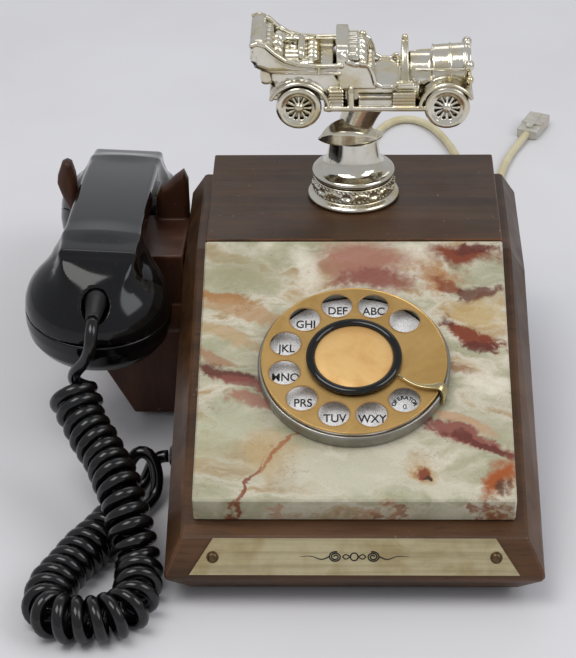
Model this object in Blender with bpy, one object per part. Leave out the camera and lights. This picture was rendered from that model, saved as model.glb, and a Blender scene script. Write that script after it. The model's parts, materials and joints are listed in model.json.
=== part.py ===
"""Novelty desk telephone: a wedge-shaped walnut base with an onyx slab, a rotary dial
and a silver veteran motor car on a trophy riser, with a side cradle that carries a
black handset. Everything is in metres, +Z up, X to the right and Y to the back.

The telephone is laid out round the middle of the slab's front edge on the table, and
the whole assembly is moved at the end so that the origin lies under its middle.
"""
import math

import bmesh
import bpy
from mathutils import Euler, Vector

# ---------------------------------------------------------------- driving dimensions
GAP = 0.0003                      # clearance between pieces that rest on each other

# wooden base: outer lower edge, top edge inside the bevel, and the bend of the top face
SLOPE = math.radians(19.3)
BASE_HALF_WIDTH = 0.075
BASE_FRONT = -0.0095
BASE_BACK = 0.218
BEVEL_IN = 0.007                  # how far the upper bevel leans in
TOP_FRONT = -0.0027
TOP_FRONT_Z = 0.0292
TOP_BEND = 0.140
BEVEL_DROP = 0.0133               # how far the upper bevel comes down
UNDERCUT_IN = 0.0095
UNDERCUT_Z = 0.013
BASE_FOOT_Z = 0.0025              # the wood stands this far off the table
TOP_FLAT_Z = TOP_FRONT_Z + (TOP_BEND - TOP_FRONT) * math.tan(SLOPE)
WALL_TOP = 0.0095                 # wood left above the cavity

# onyx slab and deck block
SLAB_WIDTH = 0.127
SLAB_LENGTH = 0.1358
SLAB_THICKNESS = 0.0135
SLAB_FRONT_Z = 0.0448             # height of the slab's front top edge, at y = 0
DECK_TOP = 0.0898
DECK_BACK = 0.2095

# rotary dial, measured along the slab (U) and above its face (H)
DIAL_U = 0.0645
DIAL_HOLE = 0.034
CUP_RADIUS = 0.0392
CUP_TOP = 0.0062
WHEEL_RADIUS = 0.038
WHEEL_H = (0.0069, 0.0081)
FINGER_HOLES = 10
FINGER_HOLE_RADIUS = 0.00625
FINGER_CIRCLE = 0.029
FIRST_HOLE_DEG = 44.0
HOLE_STEP_DEG = 30.0
STOP_DEG = -20.0
SHAFT_RADIUS = 0.003
GEAR_MODULE = 0.001
MAIN_TEETH = 36
PINION_TEETH = 12
GEAR_H = (-0.0085, -0.0065)

# trophy riser and car
RISER = Vector((0.0, 0.171, DECK_TOP))
ROD_RADIUS = 0.002
CAR_HALF_WIDTH = 0.0175
CAR_WHEEL_RADIUS = 0.0099
CAR_WHEELS_X = (-0.0234, 0.0398)
CAR_AXLE_Z = 0.1397

# cradle, at the left of the base
CRADLE_RIGHT = -BASE_HALF_WIDTH - GAP
CRADLE_FRONT = 0.127
CRADLE_STEP = (0.150, 0.045)      # low step under the mouthpiece: its back (y) and its top (z)
CRADLE_BACK = 0.2075
CRADLE_FOOT_X = -0.098            # left edge of the narrow foot
CRADLE_LEAN = 0.53                # how far the left side leans out for its height
HORN_FRONT = 0.2015
FLOOR_HORN_Z = 0.0604             # height of the sloping floor where it meets the horns
FLOOR_SLOPE = math.radians(10.3)
CRADLE_SCREWS = (0.143, 0.192)
SCREW_Z = 0.030
PLUNGER = Vector((-0.1085, 0.170, 0.0))
PLUNGER_RADIUS = 0.003

# handset: the transmitter's centre on its cap seam, and how the handset lies
TRANSMITTER = Vector((-0.1095, 0.115, 0.066))
HANDSET_PITCH = math.radians(-11.6)
HANDSET_ROLL = math.radians(3.0)
HANDSET_YAW = math.radians(-0.1)
CENTRE_DISTANCE = 0.1416
TRANSMITTER_TILT = math.radians(17.0)
RECEIVER_TILT = math.radians(-12.0)
CAP_RADIUS = 0.0315
RIDGE_OUT = 0.0107                # the handle's back runs this far past each centre
BACK_Z = 0.0272
BACK_ARCH = 0.004
HANDLE_HALF_WIDTH = 0.0164
HANDLE_THICKNESS = 0.0170

# cords
CURLY_WIRE = 0.005                # diameter
CURLY_RADIUS = 0.0092             # outer radius of the coiled cord
LINE_DIAMETER = 0.0042
LINE_COIL_CENTRE = Vector((-0.020, 0.277, 0.0))
LINE_COIL_RADII = (0.0187, 0.0317)
LINE_COIL_Z = (0.0012, 0.0182)

HANDSET_BUSH = (0.074, 0.015)     # where the handset cord enters the left wall (y, z)
LINE_BUSH = (0.030, 0.020)        # where the line cord leaves the back wall (x, z)
BOOT_ROOT = Vector((-0.1079, 0.0975, 0.0797))    # the boot points straight forward from here

# cord routes, as hand-placed points of smooth curves
HANGING_COIL = [(-0.1170, 0.0730, 0.0530), (-0.1168, 0.0724, 0.0478), (-0.1120, 0.0615, 0.0405),
                (-0.1025, 0.0455, 0.0342), (-0.0950, 0.0290, 0.0290), (-0.0895, 0.0130, 0.0190),
                (-0.0860, 0.0020, 0.0103), (-0.0858, -0.0074, 0.0094)]
LYING_COIL = [(-0.0858, -0.0092, 0.0094), (-0.0863, -0.0180, 0.0094), (-0.0900, -0.0265, 0.0094),
              (-0.0975, -0.0308, 0.0094), (-0.1065, -0.0318, 0.0094), (-0.1155, -0.0298, 0.0094),
              (-0.1208, -0.0215, 0.0094), (-0.1197, -0.0105, 0.0094), (-0.1154, 0.0010, 0.0094),
              (-0.1100, 0.0127, 0.0094), (-0.1045, 0.0230, 0.0094), (-0.0985, 0.0335, 0.0094),
              (-0.0925, 0.0430, 0.0094)]
HANDSET_TAIL = [(-0.1079, 0.0779, 0.0797), (-0.1079, 0.0748, 0.0792), (-0.1080, 0.0716, 0.0770),
                (-0.1084, 0.0700, 0.0728), (-0.1096, 0.0698, 0.0680), (-0.1118, 0.0706, 0.0634),
                (-0.1148, 0.0720, 0.0602), (-0.1168, 0.0729, 0.0578), (-0.1170, 0.0730, 0.0548)]
BASE_TAIL = [(-0.0905, 0.0450, 0.0050), (-0.0898, 0.0530, 0.0032), (-0.0896, 0.0610, 0.0030),
             (-0.0892, 0.0680, 0.0055), (-0.0874, 0.0724, 0.0105), (-0.0845, 0.0739, 0.0143),
             (-0.0815, 0.0740, 0.0150), (-0.0788, 0.0740, 0.0150)]
LINE_RUN = [(0.0300, 0.2220, 0.0200), (0.0300, 0.2275, 0.0193), (0.0298, 0.2360, 0.0120),
            (0.0285, 0.2450, 0.0048), (0.0250, 0.2560, 0.0023), (0.0195, 0.2680, 0.0023),
            (0.0145, 0.2800, 0.0023)]
LINE_END = [(0.0104, 0.2958, 0.0140), (0.0080, 0.3080, 0.0075), (0.0058, 0.3210, 0.0025),
            (0.0040, 0.3350, 0.0023), (0.0034, 0.3500, 0.0023), (0.0048, 0.3700, 0.0023),
            (0.0085, 0.3920, 0.0023),
            (0.0170, 0.4160, 0.0023), (0.0300, 0.4270, 0.0023), (0.0430, 0.4170, 0.0023),
            (0.0530, 0.3930, 0.0023), (0.0585, 0.3660, 0.0023), (0.0630, 0.3440, 0.0023),
            (0.0700, 0.3350, 0.0023), (0.0765, 0.3430, 0.0023), (0.0795, 0.3610, 0.0023),
            (0.0860, 0.3830, 0.0023), (0.0955, 0.4040, 0.0030)]

FEET_X = 0.046
FEET_Y = (0.018, 0.190)

PHONE = "phone"


# ------------------------------------------------------------------------- materials
def material(name, colour, roughness, metallic=0.0, alpha=1.0):
    found = bpy.data.materials.get(name)
    if found:
        return found
    made = bpy.data.materials.new(name)
    made.use_nodes = True
    shader = made.node_tree.nodes["Principled BSDF"]
    shader.inputs["Base Color"].default_value = (*colour, 1.0)
    shader.inputs["Roughness"].default_value = roughness
    shader.inputs["Metallic"].default_value = metallic
    shader.inputs["Alpha"].default_value = alpha
    return made


def walnut():
    return material("walnut", (0.075, 0.036, 0.024), 0.38)


def onyx():
    return material("onyx", (0.70, 0.69, 0.52), 0.15)


def gold():
    return material("gold", (0.62, 0.40, 0.13), 0.3, 1.0)


def brass():
    return material("brass", (0.50, 0.41, 0.24), 0.35, 1.0)


def silver():
    return material("silver", (0.80, 0.77, 0.68), 0.16, 1.0)


def steel():
    return material("steel", (0.55, 0.56, 0.57), 0.35, 1.0)


def white_plastic():
    return material("white_plastic", (0.80, 0.80, 0.80), 0.4)


def black_plastic():
    return material("black_plastic", (0.006, 0.006, 0.008), 0.12)


def black_rubber():
    return material("black_rubber", (0.012, 0.012, 0.013), 0.5)


def cream_vinyl():
    return material("cream_vinyl", (0.66, 0.60, 0.45), 0.45)


def clear_plastic():
    return material("clear_plastic", (0.85, 0.87, 0.86), 0.1, 0.0, 0.5)


def hardboard():
    return material("hardboard", (0.16, 0.09, 0.05), 0.7)


def bakelite():
    return material("bakelite", (0.10, 0.035, 0.02), 0.45)


# ------------------------------------------------------------------ modelling helpers
def empty(name, parent=None, location=(0, 0, 0), rotation=(0, 0, 0)):
    made = bpy.data.objects.new(name, None)
    bpy.context.collection.objects.link(made)
    made.parent = parent
    made.location = location
    made.rotation_euler = Euler(rotation, "XYZ")
    return made


def add_object(name, mesh, look, parent, location=(0, 0, 0), rotation=(0, 0, 0)):
    made = bpy.data.objects.new(name, mesh)
    bpy.context.collection.objects.link(made)
    made.parent = parent
    made.location = location
    made.rotation_euler = Euler(rotation, "XYZ")
    if look:
        mesh.materials.append(look)
    return made


def from_bmesh(name, bm, look, parent, location=(0, 0, 0), rotation=(0, 0, 0), smooth=False):
    bmesh.ops.recalc_face_normals(bm, faces=bm.faces)
    mesh = bpy.data.meshes.new(name)
    bm.to_mesh(mesh)
    bm.free()
    if smooth:
        mesh.shade_smooth()
        mesh.set_sharp_from_angle(angle=math.radians(35))
    return add_object(name, mesh, look, parent, location, rotation)


def box(name, low, high, look, parent, location=(0, 0, 0), rotation=(0, 0, 0)):
    bm = bmesh.new()
    bmesh.ops.create_cube(bm, size=1.0)
    low, high = Vector(low), Vector(high)
    for vert in bm.verts:
        vert.co = Vector(((low[i] + high[i]) / 2 + vert.co[i] * (high[i] - low[i])) for i in range(3))
    return from_bmesh(name, bm, look, parent, location, rotation)


def prism(name, outline, axis, start, end, look, parent, location=(0, 0, 0), rotation=(0, 0, 0)):
    """Extrude a 2D outline along X, Y or Z. The outline gives the two other axes in order."""
    bm = bmesh.new()
    verts = []
    for a, b in outline:
        spot = {"X": (start, a, b), "Y": (a, start, b), "Z": (a, b, start)}[axis]
        verts.append(bm.verts.new(spot))
    face = bm.faces.new(verts)
    grown = bmesh.ops.extrude_face_region(bm, geom=[face])["geom"]
    shift = {"X": (end - start, 0, 0), "Y": (0, end - start, 0), "Z": (0, 0, end - start)}[axis]
    moved = [g for g in grown if isinstance(g, bmesh.types.BMVert)]
    bmesh.ops.translate(bm, verts=moved, vec=shift)
    return from_bmesh(name, bm, look, parent, location, rotation)


def turned(name, profile, look, parent, location=(0, 0, 0), rotation=(0, 0, 0), steps=28):
    """Turn a profile of (radius, height) points about Z. A profile that starts and ends
    on the axis makes a solid; otherwise it closes on itself and makes a ring."""
    bm = bmesh.new()
    rings = []
    for radius, height in profile:
        if radius == 0:
            rings.append([bm.verts.new((0, 0, height))])
            continue
        angles = [2 * math.pi * i / steps for i in range(steps)]
        rings.append([bm.verts.new((radius * math.cos(a), radius * math.sin(a), height)) for a in angles])
    pairs = list(zip(rings, rings[1:]))
    if len(rings[0]) > 1:
        pairs.append((rings[-1], rings[0]))
    for first, second in pairs:
        for i in range(steps):
            j = (i + 1) % steps
            corners = [first[i % len(first)], first[j % len(first)],
                       second[j % len(second)], second[i % len(second)]]
            bm.faces.new(list(dict.fromkeys(corners)))
    return from_bmesh(name, bm, look, parent, location, rotation, smooth=True)


def rod(name, radius, low, high, look, parent, location=(0, 0, 0), rotation=(0, 0, 0), steps=20):
    profile = [(0, low), (radius, low), (radius, high), (0, high)]
    return turned(name, profile, look, parent, location, rotation, steps)


def tool(made):
    """Mark an object as a cutter or as stock for a union: it isn't a piece itself."""
    made.hide_render = True
    made.display_type = "WIRE"
    return made


def combine(target, other, operation):
    step = target.modifiers.new(other.name, "BOOLEAN")
    step.operation = operation
    step.solver = "EXACT"
    step.object = tool(other)
    return target


def cut(target, *cutters):
    for cutter in cutters:
        combine(target, cutter, "DIFFERENCE")
    return target


def join(target, *others):
    for other in others:
        combine(target, other, "UNION")
    return target


def soften(made, width, segments=1, angle=30):
    step = made.modifiers.new("soft_edges", "BEVEL")
    step.width = width
    step.segments = segments
    step.limit_method = "ANGLE"
    step.angle_limit = math.radians(angle)
    return made


def smooth_route(points, spacing):
    """Even points along a smooth curve through hand-placed points."""
    points = [Vector(p) for p in points]
    padded = [2 * points[0] - points[1]] + points + [2 * points[-1] - points[-2]]
    dense = []
    for a, b, c, d in zip(padded, padded[1:], padded[2:], padded[3:]):
        for step in range(24):
            t = step / 24
            dense.append(0.5 * ((2 * b) + (c - a) * t + (2 * a - 5 * b + 4 * c - d) * t ** 2
                                + (3 * b - a - 3 * c + d) * t ** 3))
    dense.append(points[-1])
    lengths = [0.0]
    for first, second in zip(dense, dense[1:]):
        lengths.append(lengths[-1] + (second - first).length)
    count = max(2, round(lengths[-1] / spacing))
    spots = []
    index = 0
    for step in range(count + 1):
        goal = lengths[-1] * step / count
        while index < len(dense) - 2 and lengths[index + 1] < goal:
            index += 1
        share = (goal - lengths[index]) / (lengths[index + 1] - lengths[index])
        spots.append(dense[index].lerp(dense[index + 1], min(1.0, share)))
    return spots


def tube(name, points, radius, spacing, look, parent, resolution=2):
    curve = bpy.data.curves.new(name, "CURVE")
    curve.dimensions = "3D"
    curve.bevel_depth = radius
    curve.bevel_resolution = resolution
    curve.use_fill_caps = True
    spots = smooth_route(points, spacing)
    spline = curve.splines.new("POLY")
    spline.points.add(len(spots) - 1)
    for point, spot in zip(spline.points, spots):
        point.co = (*spot, 1.0)
    made = bpy.data.objects.new(name, curve)
    bpy.context.collection.objects.link(made)
    made.parent = parent
    curve.materials.append(look)
    return made


def dome(radius, base, height, steps=6):
    """Profile points of a round cap, from its rim up to the axis."""
    points = []
    for step in range(steps):
        angle = math.pi / 2 * step / steps
        points.append((radius * math.cos(angle), base + height * math.sin(angle)))
    return points + [(0, base + height)]


# ------------------------------------------------------------------------------- base
def wood_base(phone):
    """A hollow wedge: undercut foot, short upright edge, leaning bevel, sloped and flat top."""
    half = BASE_HALF_WIDTH
    top_half = half - BEVEL_IN
    low_half = half - UNDERCUT_IN
    top_back = BASE_BACK - BEVEL_IN
    edge_z = TOP_FLAT_Z - BEVEL_DROP
    levels = [
        (low_half, [(0.0, BASE_FOOT_Z), (TOP_BEND, BASE_FOOT_Z), (BASE_BACK - UNDERCUT_IN, BASE_FOOT_Z)]),
        (half, [(BASE_FRONT, UNDERCUT_Z), (TOP_BEND, UNDERCUT_Z), (BASE_BACK, UNDERCUT_Z)]),
        (half, [(BASE_FRONT, UNDERCUT_Z + 0.0025), (TOP_BEND + 0.002, edge_z), (BASE_BACK, edge_z)]),
        (top_half, [(TOP_FRONT, TOP_FRONT_Z), (TOP_BEND, TOP_FLAT_Z), (top_back, TOP_FLAT_Z)]),
    ]
    bm = bmesh.new()
    rings = []
    for wide, run in levels:
        right = [bm.verts.new((wide, y, z)) for y, z in run]
        left = [bm.verts.new((-wide, y, z)) for y, z in reversed(run)]
        rings.append(right + left)
    for low, high in zip(rings, rings[1:]):
        for i in range(6):
            bm.faces.new((low[i], low[(i + 1) % 6], high[(i + 1) % 6], high[i]))
    bm.faces.new(rings[0])
    top = rings[-1]
    bm.faces.new((top[0], top[1], top[4], top[5]))
    bm.faces.new((top[1], top[2], top[3], top[4]))
    base = from_bmesh("wood_base", bm, walnut(), phone)
    soften(base, 0.0008)
    ceiling_front = TOP_FRONT_Z + (0.012 - TOP_FRONT) * math.tan(SLOPE) - WALL_TOP
    ceiling_back = TOP_FLAT_Z - WALL_TOP
    cavity = [(0.012, -0.005), (0.198, -0.005), (0.198, ceiling_back),
              (0.139, ceiling_back), (0.012, ceiling_front)]
    cut(base,
        prism("cavity_cut", cavity, "X", -0.053, 0.053, None, phone),
        box("plate_recess_cut", (-0.0615, 0.004, -0.005), (0.0615, 0.2045, 0.0051), None, phone),
        rod("rod_hole_cut", ROD_RADIUS + 0.0004, 0.06, 0.1, None, phone, (RISER.x, RISER.y, 0)),
        rod("line_hole_cut", 0.0037, -0.03, 0.03, None, phone, (LINE_BUSH[0], 0.208, LINE_BUSH[1]),
            (math.pi / 2, 0, 0)),
        rod("handset_hole_cut", 0.0037, -0.03, 0.03, None, phone, (-0.064, *HANDSET_BUSH),
            (0, math.pi / 2, 0)))
    for number, y in enumerate(CRADLE_SCREWS, 1):
        cut(base, rod(f"wall_screw_cut_{number}", 0.0022, -0.03, 0.03, None, phone,
                      (-0.064, y, SCREW_Z), (0, math.pi / 2, 0), steps=12))
    return base


def deck_block(phone):
    """Raised block behind the slab: its front leans with the slab's back face."""
    back_top = Vector((SLAB_LENGTH * math.cos(SLOPE), SLAB_FRONT_Z + SLAB_LENGTH * math.sin(SLOPE)))
    lean = math.tan(SLOPE)
    front_top = back_top.x + 0.0004 - (DECK_TOP - back_top.y) * lean
    low_y = front_top + (DECK_TOP - TOP_FLAT_Z) * lean + 0.0007
    low_z = TOP_FLAT_Z - (TOP_BEND - low_y) * math.tan(SLOPE) + GAP
    outline = [(front_top, DECK_TOP), (low_y, low_z), (TOP_BEND, TOP_FLAT_Z + GAP),
               (DECK_BACK, TOP_FLAT_Z + GAP), (DECK_BACK, DECK_TOP)]
    half = SLAB_WIDTH / 2
    deck = prism("deck_block", outline, "X", -half, half, walnut(), phone)
    soften(deck, 0.0008, 2)
    cut(deck, rod("deck_rod_cut", ROD_RADIUS + 0.0004, 0.06, 0.1, None, phone, (RISER.x, RISER.y, 0)))


def onyx_slab(slope):
    """Polished slab on the sloped top, with a round hole for the dial."""
    half = SLAB_WIDTH / 2
    slab = box("onyx_slab", (-half, 0, -SLAB_THICKNESS), (half, SLAB_LENGTH, 0), onyx(), slope)
    soften(slab, 0.0007)
    cut(slab, rod("slab_dial_cut", DIAL_HOLE, -0.03, 0.01, None, slope, (0, DIAL_U, 0), steps=28))


def dial_well(base, slope):
    cut(base, rod("base_dial_cut", DIAL_HOLE, -0.045, -0.010, None, slope, (0, DIAL_U, 0), steps=28))


def name_plate(phone, base):
    """Blank brass plate on the front bevel, with a domed pin at each end."""
    drop = TOP_FRONT_Z - (UNDERCUT_Z + 0.0025)
    lean = math.atan2(drop, TOP_FRONT - BASE_FRONT)
    middle = ((TOP_FRONT + BASE_FRONT) / 2, (TOP_FRONT_Z + UNDERCUT_Z + 0.0025) / 2)
    face = empty("plate_face", phone, (0, *middle), (lean, 0, 0))
    height = math.hypot(drop, TOP_FRONT - BASE_FRONT) - 0.0006
    outline = [(-0.0555, height / 2), (0.0555, height / 2), (0.065, -height / 2), (-0.065, -height / 2)]
    plate = prism("name_plate", outline, "Z", GAP, 0.0011, brass(), face)
    for side, x in (("left", -0.0557), ("right", 0.0557)):
        profile = [(0, -0.006), (0.0008, -0.006), (0.0008, 0.0014), (0.0022, 0.0014)]
        profile += dome(0.0022, 0.0016, 0.0012, 3)
        turned(f"plate_pin_{side}", profile, steel(), face, (x, -0.0002, 0), steps=12)
        for target in (plate, base):
            cut(target, rod(f"pin_cut_{side}_{target.name}", 0.0011, -0.008, 0.004, None, face,
                            (x, -0.0002, 0), steps=12))


def underside(phone):
    """Bottom plate in its recess, and four rubber feet under it."""
    box("bottom_plate", (-0.0612, 0.0043, 0.0028), (0.0612, 0.2042, 0.0048), hardboard(), phone)
    for depth, y in zip(("front", "back"), FEET_Y):
        for side, x in (("left", -FEET_X), ("right", FEET_X)):
            profile = [(0, 0), (0.0058, 0), (0.0068, 0.0006), (0.0068, 0.0025), (0, 0.0025)]
            turned(f"foot_{depth}_{side}", profile, black_rubber(), phone, (x, y, 0), steps=20)


# ------------------------------------------------------------------------------- dial
def gear_outline(teeth, phase):
    """Straight-sided teeth with running clearance, one tooth centred on the phase angle."""
    pitch = GEAR_MODULE * teeth / 2
    root, tip = pitch - 1.15 * GEAR_MODULE, pitch + 0.8 * GEAR_MODULE
    step = 2 * math.pi / teeth
    points = []
    for tooth in range(teeth):
        middle = phase + tooth * step
        for radius, share in ((root, -0.30), (tip, -0.11), (tip, 0.11), (root, 0.30)):
            angle = middle + share * step
            points.append((radius * math.cos(angle), radius * math.sin(angle)))
    return points


def dial_housing(dial):
    """Cup on the slab, number plate in it, and the mechanism hung below."""
    cup = [(0.0045, GAP), (CUP_RADIUS - 0.0006, GAP), (CUP_RADIUS, 0.0009), (CUP_RADIUS, CUP_TOP - 0.0006),
           (CUP_RADIUS - 0.0006, CUP_TOP), (CUP_RADIUS - 0.0018, CUP_TOP), (CUP_RADIUS - 0.0022, 0.0015),
           (0.0045, 0.0015)]
    turned("dial_cup", cup, silver(), dial, steps=40)
    plate = [(0.0045, 0.0018), (0.0366, 0.0018), (0.0366, 0.0026), (0.0045, 0.0026)]
    turned("number_plate", plate, white_plastic(), dial, steps=36)
    frame = [(0.0040, -0.0033), (0.0330, -0.0033), (0.0330, -0.0018), (0.0040, -0.0018)]
    turned("mechanism_plate", frame, steel(), dial)
    cover = [(0, -0.0250), (0.0330, -0.0250), (0.0330, -0.0036), (0.0322, -0.0036), (0.0322, -0.0242),
             (0, -0.0242)]
    turned("dust_cover", cover, steel(), dial)
    drum = [(0.0034, -0.0215), (0.0110, -0.0215), (0.0110, -0.0125), (0.0034, -0.0125)]
    turned("spring_drum", drum, brass(), dial, steps=20)
    box("pulse_contacts", (-0.006, -0.0295, -0.020), (0.006, -0.0215, -0.0042), bakelite(), dial)


def finger_stop(dial):
    """Curved brass blade that bends up from the cup's rim and reaches in over the wheel."""
    angle = math.radians(STOP_DEG)
    post = [(CUP_RADIUS + 0.0003, -0.0040), (CUP_RADIUS + 0.0013, -0.0040),
            (CUP_RADIUS + 0.0013, 0.0040), (CUP_RADIUS + 0.0003, 0.0040)]
    stop = prism("finger_stop", post, "Z", 0.0004, 0.0100, brass(), dial, (0, 0, 0), (0, 0, angle))
    blade = [(CUP_RADIUS + 0.0013, -0.0040), (CUP_RADIUS + 0.0013, 0.0040), (0.0350, 0.0030),
             (0.0280, 0.0012), (0.0205, 0.0006), (0.0205, -0.0008), (0.0280, -0.0012), (0.0350, -0.0028)]
    join(stop, prism("stop_blade_stock", blade, "Z", 0.0090, 0.0099, None, dial, (0, 0, 0), (0, 0, angle)))


def finger_wheel(spinner):
    """The turning parts: wheel, black ring, centre card, shaft and main gear."""
    low, high = WHEEL_H
    profile = [(SHAFT_RADIUS + 0.0001, low), (WHEEL_RADIUS - 0.0004, low), (WHEEL_RADIUS, low + 0.0005),
               (WHEEL_RADIUS - 0.0003, high), (SHAFT_RADIUS + 0.0001, high)]
    wheel = turned("finger_wheel", profile, gold(), spinner, steps=32)
    for hole in range(FINGER_HOLES):
        angle = math.radians(FIRST_HOLE_DEG + HOLE_STEP_DEG * hole)
        spot = (FINGER_CIRCLE * math.cos(angle), FINGER_CIRCLE * math.sin(angle), 0)
        cut(wheel, rod(f"finger_hole_cut_{hole}", FINGER_HOLE_RADIUS, 0.004, 0.012, None, spinner,
                       spot, steps=12))
    ring = []
    for step in range(8):
        angle = 2 * math.pi * step / 8
        ring.append((0.01775 + 0.00175 * math.cos(angle), 0.0099 + 0.0014 * math.sin(angle)))
    turned("wheel_ring", ring, black_plastic(), spinner, steps=32)
    card = [(0, 0.0091), (0.0155, 0.0091), (0.0155, 0.0098)] + [(0.0100, 0.0101), (0, 0.0103)]
    turned("centre_card", card, gold(), spinner)
    rod("dial_shaft", SHAFT_RADIUS, -0.0225, 0.0088, steel(), spinner)
    gear = prism("main_gear", gear_outline(MAIN_TEETH, 0.0), "Z", *GEAR_H, brass(), spinner)
    cut(gear, rod("main_gear_bore_cut", SHAFT_RADIUS + 0.0001, -0.012, -0.004, None, spinner))


def pulse_pinion(dial):
    """Small gear that the main gear drives; it works the pulse contacts and the governor."""
    distance = GEAR_MODULE * (MAIN_TEETH + PINION_TEETH) / 2
    pinion_axis = empty("pinion_axis", dial, (distance, 0, 0))
    half_step = math.pi / PINION_TEETH
    pinion = prism("pulse_pinion", gear_outline(PINION_TEETH, math.pi + half_step), "Z",
                   GEAR_H[0] - 0.0005, GEAR_H[1] + 0.0005, brass(), pinion_axis)
    join(pinion, rod("pinion_arbor_stock", 0.0013, -0.0220, -0.0037, None, pinion_axis, steps=16))


# ----------------------------------------------------------------------------- trophy
def riser(phone):
    """Banded foot, bell and pointed collar, clamped to the deck by one threaded rod."""
    bore = ROD_RADIUS + 0.0003
    band = [(bore, GAP), (0.0198, GAP), (0.0203, 0.0012), (0.0196, 0.0022), (0.0183, 0.0026),
            (0.0183, 0.0066), (0.0190, 0.0070), (0.0188, 0.0078), (bore, 0.0078)]
    turned("riser_band", band, silver(), phone, RISER, steps=28)
    bell = [(bore, 0.0081), (0.0180, 0.0081), (0.0190, 0.0098), (0.0188, 0.0120), (0.0172, 0.0150),
            (0.0142, 0.0182), (0.0116, 0.0210), (0.0102, 0.0240), (0.0098, 0.0285), (bore, 0.0285)]
    turned("riser_bell", bell, silver(), phone, RISER, steps=28)
    side = 12
    reach, width = 0.0135, 0.0100
    outline = []
    for step in range(2 * side):
        along = 1 - 2 * (step % side) / side
        sign = 1 if step < side else -1
        outline.append((sign * reach * along, sign * width * (1 - along ** 2) ** 0.8))
    collar = prism("leaf_collar", outline, "Z", 0.0288, 0.0312, silver(), phone, RISER, (0, 0, 0.25))
    cut(collar, rod("collar_rod_cut", bore, 0.02, 0.04, None, phone, RISER, steps=16))


def rod_and_nut(phone):
    """Threaded rod through riser, deck and base, with a washer and a nut under the wood."""
    roof = TOP_FLAT_Z - WALL_TOP
    rod("figure_rod", ROD_RADIUS, roof - 0.012, 0.1340, steel(), phone, (RISER.x, RISER.y, 0), steps=16)
    bore = ROD_RADIUS + 0.0002
    washer = [(bore, roof - 0.0015), (0.0070, roof - 0.0015), (0.0070, roof - GAP), (bore, roof - GAP)]
    turned("rod_washer", washer, steel(), phone, (RISER.x, RISER.y, 0), steps=24)
    nut = rod("rod_nut", 0.0042, roof - 0.0052, roof - 0.0018, steel(), phone, (RISER.x, RISER.y, 0), steps=6)
    cut(nut, rod("nut_bore_cut", bore, 0.05, 0.09, None, phone, (RISER.x, RISER.y, 0), steps=16))


def fender_outline(x):
    """Arched strip over a car wheel."""
    angles = [math.radians(15 + 25 * step) for step in range(7)]
    outer = [(x + 0.0125 * math.cos(a), CAR_AXLE_Z + 0.0125 * math.sin(a)) for a in angles]
    inner = [(x + 0.0092 * math.cos(a), CAR_AXLE_Z + 0.0092 * math.sin(a)) for a in reversed(angles)]
    return outer + inner


def leaning_stem(parent):
    """Stem that widens and leans to the right on its way up to the car."""
    bm = bmesh.new()
    steps = 16
    rings = []
    for x, radius, z in ((0.0, 0.0078, 0.1213), (0.0010, 0.0082, 0.1250), (0.0040, 0.0094, 0.1310),
                         (0.0075, 0.0112, 0.1380), (0.0080, 0.0114, 0.1420)):
        angles = [2 * math.pi * i / steps for i in range(steps)]
        rings.append([bm.verts.new((x + radius * math.cos(a), 0.85 * radius * math.sin(a), z)) for a in angles])
    for low, high in zip(rings, rings[1:]):
        for i in range(steps):
            bm.faces.new((low[i], low[(i + 1) % steps], high[(i + 1) % steps], high[i]))
    bm.faces.new(rings[0])
    bm.faces.new(rings[-1])
    return from_bmesh("stem_stock", bm, None, parent)


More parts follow.
